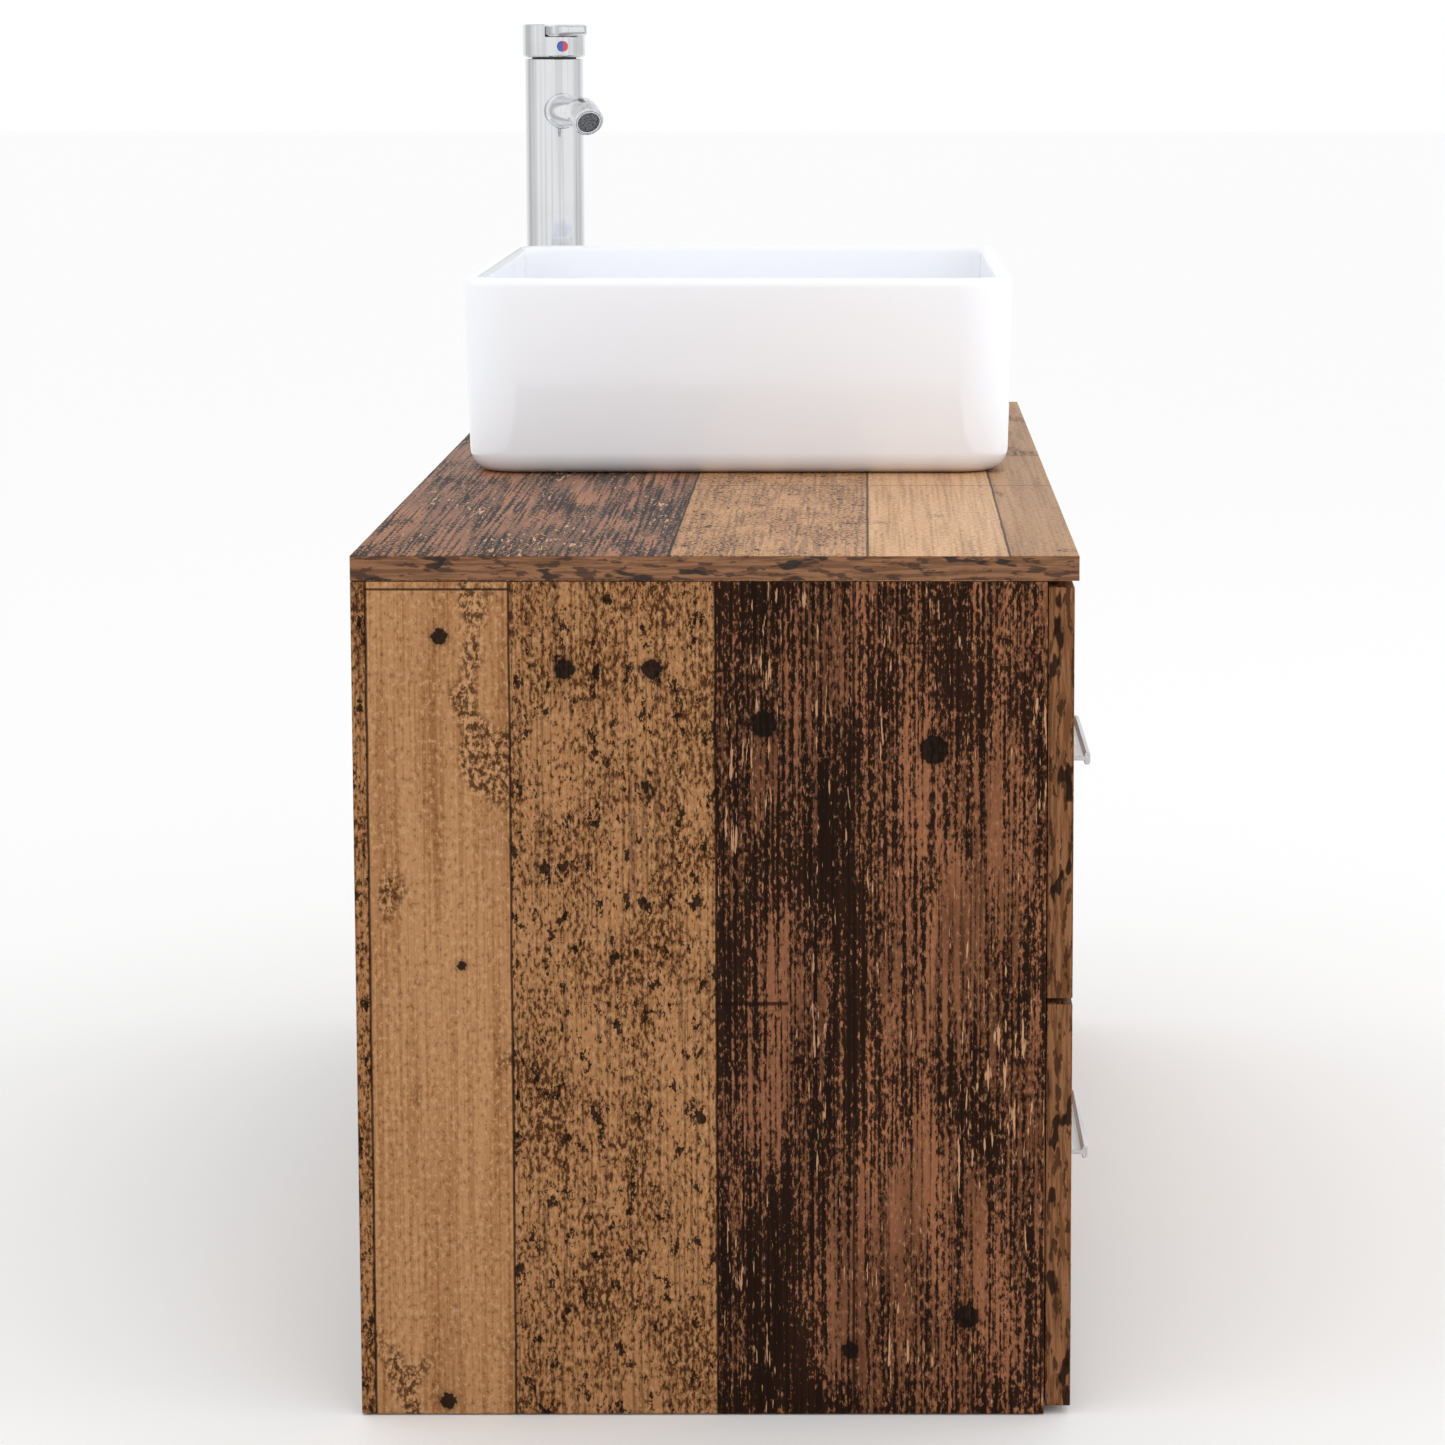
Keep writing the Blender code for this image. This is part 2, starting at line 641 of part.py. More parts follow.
# ---------------------------------------------------------------- doors and their hinges
def make_hinge_arm(name, side, panel_face, pivot_x, z):
    """The arm on the cabinet. Its nose stands in the door's cup when the door is closed."""
    nose_far = HINGE_CUP_EDGE + HINGE_CUP_RADIUS - HINGE_CUP_WALL - 0.003
    nose_near = nose_far - HINGE_NOSE_WIDTH
    offset = side * (panel_face - pivot_x)
    near, far = nose_near + offset, nose_far + offset
    thick, reach = HINGE_ARM_THICK, HINGE_ARM_REACH
    outline = [
        (TOUCH_GAP, reach - HINGE_PLATE[1]),
        (near, 0.006),
        (near, -HINGE_NOSE_DEPTH),
        (far, -HINGE_NOSE_DEPTH),
        (far, 0.006),
        (thick, 0.030),
        (thick, reach - 0.006),
        (0.006, reach),
        (TOUCH_GAP, reach),
    ]
    # X is away from the panel, which is -X for a hinge on the right-hand side.
    outline = [(-side * x, y) for x, y in outline]
    if side > 0:
        outline.reverse()
    arm = new_part(
        name,
        outline_mesh(name, outline, HINGE_ARM_HEIGHT),
        STEEL,
        at(panel_face, CARCASS_FRONT_Y, z),
    )
    plate = box_mesh("hinge_plate", (0.003, HINGE_PLATE[0], HINGE_PLATE[1]))
    plate_y = reach - HINGE_PLATE[1] / 2
    join(arm, plate, at(-side * (TOUCH_GAP + 0.0015), plate_y, 0))


def make_hinge_cup(name, side, joint, z):
    """The steel cup let into the door, with a flange on the door's back."""
    cup_x = joint.location.x - side * HINGE_CUP_EDGE
    rim = TOUCH_GAP + HINGE_FLANGE[2]
    outer, inner = HINGE_CUP_RADIUS, HINGE_CUP_RADIUS - HINGE_CUP_WALL
    floor = -HINGE_CUP_DEPTH
    profile = [
        (0, floor + HINGE_CUP_WALL),
        (inner, floor + HINGE_CUP_WALL),
        (inner, rim),
        (outer, rim),
        (outer, floor),
        (0, floor),
    ]
    place = at(cup_x, FRONT_BACK_Y, z, turn_x=-math.pi / 2)
    cup = turned(
        name, profile, STEEL, from_world(joint, place), joint, PLUMBING_STEPS, closed=False
    )
    flange = box_mesh("flange", HINGE_FLANGE)
    flange_z = TOUCH_GAP + HINGE_FLANGE[2] / 2
    wings = bpy.data.objects.new(f"{name}_wings", flange)
    CUTTERS.objects.link(wings)
    wings.parent = cup
    wings.matrix_basis = at(0, 0, flange_z)
    wings.hide_render = True
    wings.display_type = "WIRE"
    mouth = rod_mesh("mouth", (outer + inner) / 2, 0.01, PLUMBING_STEPS)
    cut(wings, mouth, Matrix.Identity(4))
    boolean = cup.modifiers.new("join_wings", "BOOLEAN")
    boolean.operation = "UNION"
    boolean.object = wings


def make_door(word, side):
    """A door that swings about the front corner of its outer edge, as a cup hinge carries it."""
    name = f"{word}_door"
    if side > 0:
        low_x, high_x = DOORS_MIDDLE_X + FRONT_SIDE_GAP, WIDTH / 2 - FRONT_SIDE_GAP
        pivot_x, free_x = high_x, low_x
        panel_face = INNER_RIGHT
    else:
        low_x, high_x = DIVIDER_X + FRONT_SIDE_GAP, DOORS_MIDDLE_X - FRONT_SIDE_GAP
        pivot_x, free_x = low_x, high_x
        panel_face = DIVIDER_X + BOARD / 2
    joint = new_joint(f"{name}_swing", (pivot_x, FRONT_FACE_Y, BOTTOM_REVEAL))
    door = board(
        f"{name}_panel",
        (low_x, FRONT_FACE_Y, BOTTOM_REVEAL),
        (high_x, FRONT_BACK_Y, BOTTOM_REVEAL + DOOR_HEIGHT),
        joint=joint,
    )
    middle_z = BOTTOM_REVEAL + DOOR_HEIGHT / 2
    make_handle(
        f"{name}_handle", free_x + side * DOOR_HANDLE_INSET, middle_z, joint, upright=True
    )
    bore_depth = HINGE_CUP_DEPTH + HINGE_BORE_CLEARANCE
    bore = rod_mesh(
        "cup_bore", HINGE_CUP_RADIUS + HINGE_BORE_CLEARANCE, 2 * bore_depth, PLUMBING_STEPS
    )
    for end, z in (
        ("upper", BOTTOM_REVEAL + DOOR_HEIGHT - HINGE_FROM_DOOR_END),
        ("lower", BOTTOM_REVEAL + HINGE_FROM_DOOR_END),
    ):
        cup_x = pivot_x - side * HINGE_CUP_EDGE - (low_x + high_x) / 2
        cut(door, bore, at(cup_x, BOARD / 2, z - middle_z, turn_x=math.pi / 2))
        make_hinge_cup(f"{name}_hinge_cup_{end}", side, joint, z)
        make_hinge_arm(f"{name}_hinge_arm_{end}", side, panel_face, pivot_x, z)


# ---------------------------------------------------------------- basin and waste
def make_basin():
    """A thin-rimmed rectangular bowl with round corners and a floor that falls to the drain."""
    half_x, half_y = BASIN_LENGTH / 2, BASIN_WIDTH / 2
    rim = BASIN_WALL / 2
    foot = BASIN_FOOT_ROUND
    rings = []

    def add(inset, height):
        corner = max(BASIN_CORNER - inset, 0.012)
        rings.append(rounded_ring(half_x - inset, half_y - inset, corner, height))

    def circle(radius, height):
        rings.append(rounded_ring(radius, radius, radius, height))

    circle(DRAIN_HOLE, 0)
    for step in range(5):
        angle = math.pi / 2 * step / 4
        add(BASIN_DRAFT + foot * (1 - math.sin(angle)), foot * (1 - math.cos(angle)))
    for step in range(7):
        angle = math.pi * step / 6
        add(rim * (1 - math.cos(angle)), BASIN_HEIGHT - rim + rim * math.sin(angle))
    bowl = BASIN_BOWL_ROUND
    bowl_inset = BASIN_WALL + BASIN_DRAFT
    floor_edge = BASIN_FLOOR + BASIN_FLOOR_FALL
    for step in range(6):
        angle = math.pi / 2 * step / 5
        add(
            bowl_inset + bowl * (1 - math.cos(angle)),
            floor_edge + bowl * (1 - math.sin(angle)),
        )
    circle(WASTE_FLANGE + TOUCH_GAP, BASIN_FLOOR)
    circle(DRAIN_HOLE, BASIN_FLOOR)
    lofted("basin", rings, CERAMIC, at(BASIN_X, BASIN_Y, BASIN_BOTTOM))


def make_waste():
    """The drain's flanged body, its rubber seal and locknut, and the plug that clicks up and down."""
    middle = at(BASIN_X, BASIN_Y, DRAIN_TOP)
    seat = TOUCH_GAP
    top = seat + WASTE_FLANGE_THICK
    tail = -(BASIN_FLOOR + BOARD + WASTE_TAIL_DROP)
    profile = [
        (WASTE_BORE, top - 0.0010),
        (WASTE_BORE + 0.0010, top),
        (WASTE_FLANGE - 0.0015, top),
        (WASTE_FLANGE, top - 0.0015),
        (WASTE_FLANGE, seat),
        (WASTE_TAIL, seat),
        (WASTE_TAIL, tail),
        (WASTE_BORE, tail),
    ]
    body = turned("waste_body", profile, CHROME, middle, steps=ROUND_STEPS)
    bar_wide, bar_high = WASTE_BAR
    bar = box_mesh("bar", (2 * WASTE_BORE + 0.002, 2.5 * bar_wide, bar_high))
    bar_z = top - PLUG_STEM_LENGTH * 0.6
    join(body, bar, at(0, 0, bar_z))
    guide = rod_mesh("guide", PLUG_STEM + 0.0005, 4 * bar_high, 16)
    cut(body, guide, at(0, 0, bar_z))

    under = CARCASS_TOP - DRAIN_TOP
    inner = WASTE_TAIL + PIPE_CLEARANCE
    gasket_top = under - TOUCH_GAP
    gasket = [
        (inner, gasket_top),
        (LOCKNUT_RADIUS, gasket_top),
        (LOCKNUT_RADIUS, gasket_top - GASKET_THICK),
        (inner, gasket_top - GASKET_THICK),
    ]
    turned("waste_gasket", gasket, RUBBER, middle, steps=PLUMBING_STEPS)
    nut_top = gasket_top - GASKET_THICK - TOUCH_GAP
    nut = [
        (inner, nut_top),
        (LOCKNUT_RADIUS, nut_top),
        (LOCKNUT_RADIUS, nut_top - LOCKNUT_HEIGHT),
        (inner, nut_top - LOCKNUT_HEIGHT),
    ]
    turned("waste_locknut", nut, PLASTIC, middle, steps=PLUMBING_STEPS)

    joint = new_joint("drain_plug_slide", (BASIN_X, BASIN_Y, DRAIN_TOP))
    cap = top + 0.0006
    dome = [
        (0, cap + PLUG_THICK),
        (PLUG_RADIUS * 0.5, cap + PLUG_THICK * 0.95),
        (PLUG_RADIUS * 0.85, cap + PLUG_THICK * 0.75),
        (PLUG_RADIUS, cap + PLUG_THICK * 0.35),
        (PLUG_RADIUS, cap),
        (PLUG_STEM, cap),
        (PLUG_STEM, cap - PLUG_STEM_LENGTH),
        (0, cap - PLUG_STEM_LENGTH),
    ]
    turned("drain_plug", dome, CHROME, at(0, 0, 0), joint, ROUND_STEPS, closed=False)


def make_trap():
    """A bottle trap under the drain: inlet pipe with its collar, body, cup, outlet pipe, wall rosette."""
    tail_end = CARCASS_TOP - WASTE_TAIL_DROP
    inner = PIPE_RADIUS - PIPE_WALL
    collar_in = WASTE_TAIL + PIPE_CLEARANCE
    collar_out = collar_in + 0.005
    shoulder = tail_end - 0.004
    pipe_end = TRAP_TOP - TRAP_BODY_HEIGHT
    inlet = [
        (inner, shoulder),
        (collar_in, shoulder),
        (collar_in, tail_end + COLLAR_HEIGHT),
        (collar_out, tail_end + COLLAR_HEIGHT),
        (collar_out, shoulder - 0.006),
        (PIPE_RADIUS, shoulder - 0.006),
        (PIPE_RADIUS, pipe_end),
        (inner, pipe_end),
    ]
    middle = at(BASIN_X, BASIN_Y, 0)
    turned("trap_inlet_pipe", inlet, PLASTIC, middle, steps=PLUMBING_STEPS)

    neck = PIPE_RADIUS + PIPE_CLEARANCE
    body_low = TRAP_TOP - TRAP_BODY_HEIGHT
    wall_in = TRAP_RADIUS - TRAP_WALL
    body = [
        (neck, TRAP_TOP),
        (neck + 0.006, TRAP_TOP),
        (neck + 0.006, TRAP_TOP - 0.016),
        (TRAP_RADIUS, TRAP_TOP - 0.024),
        (TRAP_RADIUS, body_low),
        (wall_in, body_low),
        (wall_in, TRAP_TOP - 0.024 - TRAP_WALL),
        (neck, TRAP_TOP - 0.024 + 0.002),
    ]
    trap = turned("trap_body", body, PLASTIC, middle, steps=PLUMBING_STEPS)
    outlet_z = TRAP_TOP - 0.024 - TRAP_OUTLET_DROP
    stub_length = 0.040
    stub_middle = wall_in + stub_length / 2 - 0.001
    along_y = Matrix.Rotation(math.pi / 2, 4, "X")
    stub = rod_mesh("stub", neck + 0.004, stub_length, PLUMBING_STEPS)
    join(trap, stub, at(0, stub_middle, outlet_z) @ along_y)
    bore = rod_mesh("stub_bore", neck, stub_length + 0.020, PLUMBING_STEPS)
    cut(trap, bore, at(0, stub_middle + 0.004, outlet_z) @ along_y)

    cup_in = TRAP_RADIUS + PIPE_CLEARANCE
    cup_out = cup_in + 0.004
    cup_low = body_low - TRAP_CUP_HEIGHT
    cup = [
        (0, cup_low + 0.004),
        (wall_in - 0.004, cup_low + 0.004),
        (wall_in, cup_low + 0.010),
        (wall_in, body_low - 0.001),
        (cup_in, body_low - 0.001),
        (cup_in, body_low + 0.008),
        (cup_out, body_low + 0.008),
        (cup_out, body_low - 0.004),
        (TRAP_RADIUS, body_low - 0.010),
        (TRAP_RADIUS, cup_low + 0.006),
        (TRAP_RADIUS - 0.006, cup_low),
        (0, cup_low),
    ]
    turned("trap_cup", cup, PLASTIC, middle, steps=PLUMBING_STEPS, closed=False)

    pipe_start = BASIN_Y + TRAP_RADIUS + 0.010
    pipe_stop = WALL_Y - 0.001
    length = pipe_stop - pipe_start
    pipe = [
        (inner, length / 2),
        (PIPE_RADIUS, length / 2),
        (PIPE_RADIUS, -length / 2),
        (inner, -length / 2),
    ]
    pipe_place = at(BASIN_X, (pipe_start + pipe_stop) / 2, outlet_z) @ along_y
    turned("trap_outlet_pipe", pipe, PLASTIC, pipe_place, steps=PLUMBING_STEPS)
    rosette_in = PIPE_RADIUS + PIPE_CLEARANCE
    rosette = [
        (rosette_in, ROSETTE_THICK),
        (rosette_in + 0.004, ROSETTE_THICK),
        (ROSETTE_RADIUS - 0.003, 0.0035),
        (ROSETTE_RADIUS, 0.0),
        (rosette_in, 0.0),
    ]
    turned(
        "trap_rosette",
        rosette,
        CHROME,
        at(BASIN_X, WALL_Y, outlet_z) @ along_y,
        steps=PLUMBING_STEPS,
    )


# ---------------------------------------------------------------- tap
def make_tap_body(tap):
    """The upright tube with its cartridge, shank and locknut. The spout points along +X."""
    low = TOUCH_GAP
    high = HEAD_BOTTOM - TAP_HEAD_GAP
    inner = TAP_RADIUS - TAP_WALL
    tube = [
        (inner, high),
        (TAP_RADIUS - TAP_CHAMFER, high),
        (TAP_RADIUS, high - TAP_CHAMFER),
        (TAP_RADIUS, low),
        (TAP_SHANK + PIPE_CLEARANCE, low),
        (TAP_SHANK + PIPE_CLEARANCE, low + TAP_FLOOR),
        (inner, low + TAP_FLOOR),
    ]
    body = turned("tap_body", tube, CHROME, at(0, 0, 0), tap)
    waterway = rod_mesh("waterway", SPOUT_BORE, 2 * TAP_RADIUS, 16)
    sideways = Matrix.Rotation(math.pi / 2, 4, "Y")
    cut(body, waterway, at(TAP_RADIUS, 0, SPOUT_HEIGHT) @ sideways)

    shank_top = low + TAP_FLOOR + 0.010
    shank = [
        (TAP_SHANK - 0.004, shank_top),
        (TAP_SHANK, shank_top),
        (TAP_SHANK, shank_top - TAP_SHANK_LENGTH),
        (TAP_SHANK - 0.004, shank_top - TAP_SHANK_LENGTH),
    ]
    turned("tap_shank", shank, CHROME, at(0, 0, 0), tap, PLUMBING_STEPS)
    nut_top = -BOARD - TOUCH_GAP
    nut = [
        (TAP_SHANK + PIPE_CLEARANCE, nut_top),
        (TAP_LOCKNUT, nut_top),
        (TAP_LOCKNUT, nut_top - 0.003),
        (TAP_LOCKNUT - 0.003, nut_top - 0.003),
        (TAP_LOCKNUT - 0.003, nut_top - 0.014),
        (TAP_SHANK + PIPE_CLEARANCE, nut_top - 0.014),
    ]
    turned("tap_locknut", nut, STEEL, at(0, 0, 0), tap, PLUMBING_STEPS)

    stem_top = HEAD_BOTTOM + 0.010
    cartridge = [
        (0, stem_top),
        (CARTRIDGE_STEM, stem_top),
        (CARTRIDGE_STEM, HEAD_BOTTOM + 0.003),
        (CARTRIDGE_RADIUS, HEAD_BOTTOM + 0.003),
        (CARTRIDGE_RADIUS, high - 0.035),
        (0, high - 0.035),
    ]
    turned("tap_cartridge", cartridge, CARTRIDGE_PLASTIC, at(0, 0, 0), tap, closed=False)


def spout_centre_line():
    """Points along the spout: straight out of the body, then an arc that bends down to the nose."""
    bend, radius = SPOUT_BEND, SPOUT_BEND_RADIUS
    nose_x = SPOUT_REACH - SPOUT_NOSE * math.cos(bend)
    bend_start = nose_x - radius * math.sin(bend)
    points = [(0.010, 0.0), (0.040, 0.0), (bend_start, 0.0)]
    for step in range(1, 7):
        angle = bend * step / 6
        points.append(
            (bend_start + radius * math.sin(angle), -radius * (1 - math.cos(angle)))
        )
    last_x, last_z = points[-1]
    points.append((last_x + SPOUT_NOSE * math.cos(bend), last_z - SPOUT_NOSE * math.sin(bend)))
    return points


def tube_mesh(name, line, radius, resolution):
    """A round bar along a line of (x, z) points, made as a curve with a bevel and filled caps."""
    curve = bpy.data.curves.new(name, "CURVE")
    curve.dimensions = "3D"
    curve.bevel_depth = radius
    curve.bevel_resolution = resolution
    curve.use_fill_caps = True
    spline = curve.splines.new("POLY")
    spline.points.add(len(line) - 1)
    for point, (x, z) in zip(spline.points, line):
        point.co = (x, 0.0, z, 1.0)
    drawn = bpy.data.objects.new(name, curve)
    PARTS.objects.link(drawn)
    graph = bpy.context.evaluated_depsgraph_get()
    mesh = bpy.data.meshes.new_from_object(drawn.evaluated_get(graph))
    bpy.data.objects.remove(drawn)
    bpy.data.curves.remove(curve)
    shape = bmesh.new()
    shape.from_mesh(mesh)
    bpy.data.meshes.remove(mesh)
    bmesh.ops.remove_doubles(shape, verts=shape.verts, dist=0.00001)
    return mesh_from(name, shape)


def make_spout(tap):
    line = spout_centre_line()
    spout = new_part(
        "tap_spout", tube_mesh("tap_spout", line, SPOUT_RADIUS, 5), CHROME, at(0, 0, SPOUT_HEIGHT), tap
    )
    sideways = Matrix.Rotation(math.pi / 2, 4, "Y")
    collar_middle = TAP_RADIUS + SPOUT_COLLAR / 2 - 0.003
    collar = rod_mesh("collar", SPOUT_COLLAR_RADIUS, SPOUT_COLLAR + 0.006, 24)
    join(spout, collar, at(collar_middle, 0, 0) @ sideways)
    around = rod_mesh("around_body", TAP_RADIUS + TOUCH_GAP, 0.080, ROUND_STEPS)
    cut(spout, around, at(0, 0, 0))
    (start_x, _), (end_x, end_z) = line[0], line[-1]
    extend = 0.010
    beyond = (end_x + extend * math.cos(SPOUT_BEND), end_z - extend * math.sin(SPOUT_BEND))
    bore_line = [(start_x - extend, 0.0), *line[1:-1], beyond]
    cut(spout, tube_mesh("spout_bore", bore_line, SPOUT_BORE, 3), at(0, 0, 0))
    seat = rod_mesh("aerator_seat", AERATOR_RADIUS + 0.0003, 2 * AERATOR_LENGTH, 24)
    tilt = Matrix.Rotation(math.pi / 2 + SPOUT_BEND, 4, "Y")
    cut(spout, seat, at(end_x, 0, end_z) @ tilt)

    ring = [
        (SPOUT_BORE - 0.0012, 0.0005),
        (AERATOR_RADIUS, 0.0005),
        (AERATOR_RADIUS, -AERATOR_LENGTH + 0.001),
        (SPOUT_BORE - 0.0012, -AERATOR_LENGTH + 0.001),
    ]
    place = at(end_x, 0, SPOUT_HEIGHT + end_z) @ tilt
    aerator = turned("tap_aerator", ring, CHROME, place, tap, 24)
    insert = rod_mesh("insert", SPOUT_BORE - 0.0010, 0.004, 24)
    join(aerator, insert, at(0, 0, -0.0040))


def make_tap_head(tap_place):
    """The cap that turns for temperature, with a slot for the lever and a marker on its front."""
    head_joint = new_joint("tap_head_turn", tap_place, math.pi + TAP_TURN)
    top = TAP_HEIGHT
    inner = TAP_HEAD_RADIUS - TAP_HEAD_WALL
    profile = [
        (0, top),
        (TAP_HEAD_RADIUS - TAP_CHAMFER, top),
        (TAP_HEAD_RADIUS, top - TAP_CHAMFER),
        (TAP_HEAD_RADIUS, HEAD_BOTTOM + 0.0025),
        (TAP_HEAD_RADIUS - 0.0020, HEAD_BOTTOM),
        (inner, HEAD_BOTTOM),
        (inner, HEAD_BOTTOM + TAP_HEAD_SKIRT),
        (0, HEAD_BOTTOM + TAP_HEAD_SKIRT),
    ]
    head = turned("tap_head", profile, CHROME, at(0, 0, 0), head_joint, 48, closed=False)
    clearance = LEVER_CLEARANCE
    back = -LEVER_PIVOT_BACK - LEVER_THICK / 2 - clearance
    front = TAP_HEAD_RADIUS + 0.010
    slot = box_mesh("slot", (front - back, LEVER_WIDTH + 2 * clearance, 2 * LEVER_THICK + 2 * clearance))
    cut(head, slot, at((front + back) / 2, 0, top))

    marker_z = HEAD_BOTTOM + MARKER_LIFT
    sideways = Matrix.Rotation(math.pi / 2, 4, "Y")
    marker_mesh = rod_mesh("tap_marker", MARKER_RADIUS, MARKER_THICK, 20)
    marker_x = TAP_HEAD_RADIUS + MARKER_THICK / 2 - 0.0004
    new_part("tap_marker", marker_mesh, MARKER, at(marker_x, 0, marker_z) @ sideways, head_joint)
    seat = rod_mesh("marker_seat", MARKER_RADIUS + TOUCH_GAP, 2 * MARKER_THICK, 20)
    seat_x = marker_x - MARKER_THICK / 2 - TOUCH_GAP + MARKER_THICK
    cut(head, seat, at(seat_x, 0, marker_z) @ sideways)
    return head_joint


def make_tap_lever(head_joint):
    """A paddle in the head's slot. Its round back end is centred on the axis that it lifts about."""
    lift_joint = bpy.data.objects.new("tap_lever_lift", None)
    PARTS.objects.link(lift_joint)
    lift_joint.parent = head_joint
    lift_joint.location = (-LEVER_PIVOT_BACK, 0, LEVER_PIVOT_Z)
    half = LEVER_THICK / 2
    reach = LEVER_REACH + LEVER_PIVOT_BACK
    outline = []
    for step in range(9):
        angle = math.pi / 2 + math.pi * step / 8
        outline.append((half * math.cos(angle), half * math.sin(angle)))
    tip_low = half - LEVER_TIP_THICK
    outline += [
        (reach - 0.003, tip_low),
        (reach - 0.0008, tip_low + 0.0015),
        (reach, half - 0.0030),
        (reach - 0.0008, half - 0.0008),
        (reach - 0.0030, half),
    ]
    mesh = outline_mesh("tap_lever", outline, LEVER_WIDTH)
    place = Matrix.Rotation(math.pi / 2, 4, "X")
    return new_part("tap_lever", mesh, CHROME, place, lift_joint)


def make_tap():
    place = (TAP_X, TAP_Y, CABINET_HEIGHT)
    tap = new_joint("tap_stand", place, math.pi + TAP_TURN)
    make_tap_body(tap)
    make_spout(tap)
    head_joint = make_tap_head(place)
    make_tap_lever(head_joint)


def main():
    make_carcass()
    make_wall_bracket("wall_bracket_left", -1)
    make_wall_bracket("wall_bracket_right", 1)
    make_drawer("lower", BOTTOM_REVEAL)
    make_drawer("upper", BOTTOM_REVEAL + FRONT_HEIGHT + FRONT_GAP)
    make_door("left", -1)
    make_door("right", 1)
    make_basin()
    make_waste()
    make_trap()
    make_tap()


main()
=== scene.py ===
import json
import math

import bmesh
import bpy
import numpy as np
from mathutils import Matrix, Vector


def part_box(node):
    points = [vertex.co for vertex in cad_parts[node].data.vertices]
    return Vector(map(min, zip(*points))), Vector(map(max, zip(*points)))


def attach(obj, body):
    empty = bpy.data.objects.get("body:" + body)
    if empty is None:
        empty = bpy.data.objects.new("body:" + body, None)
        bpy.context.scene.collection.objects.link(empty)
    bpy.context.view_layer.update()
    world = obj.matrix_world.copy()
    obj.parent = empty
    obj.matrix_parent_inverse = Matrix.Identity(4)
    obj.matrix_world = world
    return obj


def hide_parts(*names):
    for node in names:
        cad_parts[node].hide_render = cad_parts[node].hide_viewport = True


bl_info = {
    "name": "Vessel Basin Vanity",
    "version": (1, 0, 0),
    "blender": (4, 5, 0),
    "location": "3D View > Sidebar > Vanity",
    "description": "Dresses the vanity's boards, basin, tap, drain and fittings, and lights them in a studio",
    "category": "Object",
}

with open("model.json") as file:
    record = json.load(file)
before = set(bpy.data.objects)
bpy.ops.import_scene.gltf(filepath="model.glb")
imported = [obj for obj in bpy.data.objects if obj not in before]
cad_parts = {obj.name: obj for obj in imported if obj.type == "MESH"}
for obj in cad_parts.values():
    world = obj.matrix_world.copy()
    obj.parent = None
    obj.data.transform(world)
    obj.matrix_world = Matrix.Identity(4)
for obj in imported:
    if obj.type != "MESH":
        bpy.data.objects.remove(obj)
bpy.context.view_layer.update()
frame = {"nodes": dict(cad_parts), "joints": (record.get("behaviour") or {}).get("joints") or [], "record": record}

# ---------------------------------------------------------------- places taken from the frame
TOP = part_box("top_board")
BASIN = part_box("basin")
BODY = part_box("tap_body")
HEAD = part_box("tap_head")
WALL_Y = TOP[1].y
LEFT_X = TOP[0].x
COUNTER_Z = TOP[1].z
TAP_X = (BODY[0].x + BODY[1].x) / 2
TAP_Y = (BODY[0].y + BODY[1].y) / 2
BASIN_X = (BASIN[0].x + BASIN[1].x) / 2
BASIN_Y = (BASIN[0].y + BASIN[1].y) / 2
JOINTS = {joint["name"]: joint for joint in frame["joints"]}
LIFT_AXIS = Vector(JOINTS["tap_lever_lift"]["axis"])
TAP_TURN = math.atan2(-LIFT_AXIS.x, LIFT_AXIS.y)

BOARDS_SIDE = ("side_panel_left", "side_panel_right", "divider_panel")
BOARDS_BACK = ("hanging_rail", "lower_back_rail")
FRONTS = ("upper_drawer_front", "lower_drawer_front", "left_door_panel", "right_door_panel")
DRAWER_BOARDS = tuple(
    f"{level}_drawer_{part}"
    for level in ("upper", "lower")
    for part in ("side_left", "side_right", "back", "floor")
)
HANDLES = ("upper_drawer_handle", "lower_drawer_handle", "left_door_handle", "right_door_handle")
STEEL_NODES = tuple(
    node
    for node in frame["nodes"]
    if "runner" in node
    or "hinge" in node
    or node in ("wall_bracket_left", "wall_bracket_right", "tap_locknut")
)


def from_bytes(red, green, blue):
    """A linear colour from the 0 to 255 values that a paint chart gives."""
    values = np.array((red, green, blue)) / 255
    linear = np.where(values <= 0.04045, values / 12.92, ((values + 0.055) / 1.055) ** 2.4)
    return tuple(float(value) for value in linear)


# ---------------------------------------------------------------- settings a user would change
def length(name, description, default):
    return bpy.props.FloatProperty(
        name=name, description=description, default=default, min=0.0, unit="LENGTH", precision=4
    )


def colour(name, description, default):
    return bpy.props.FloatVectorProperty(
        name=name, description=description, default=default, subtype="COLOR", size=3, min=0.0, max=1.0
    )


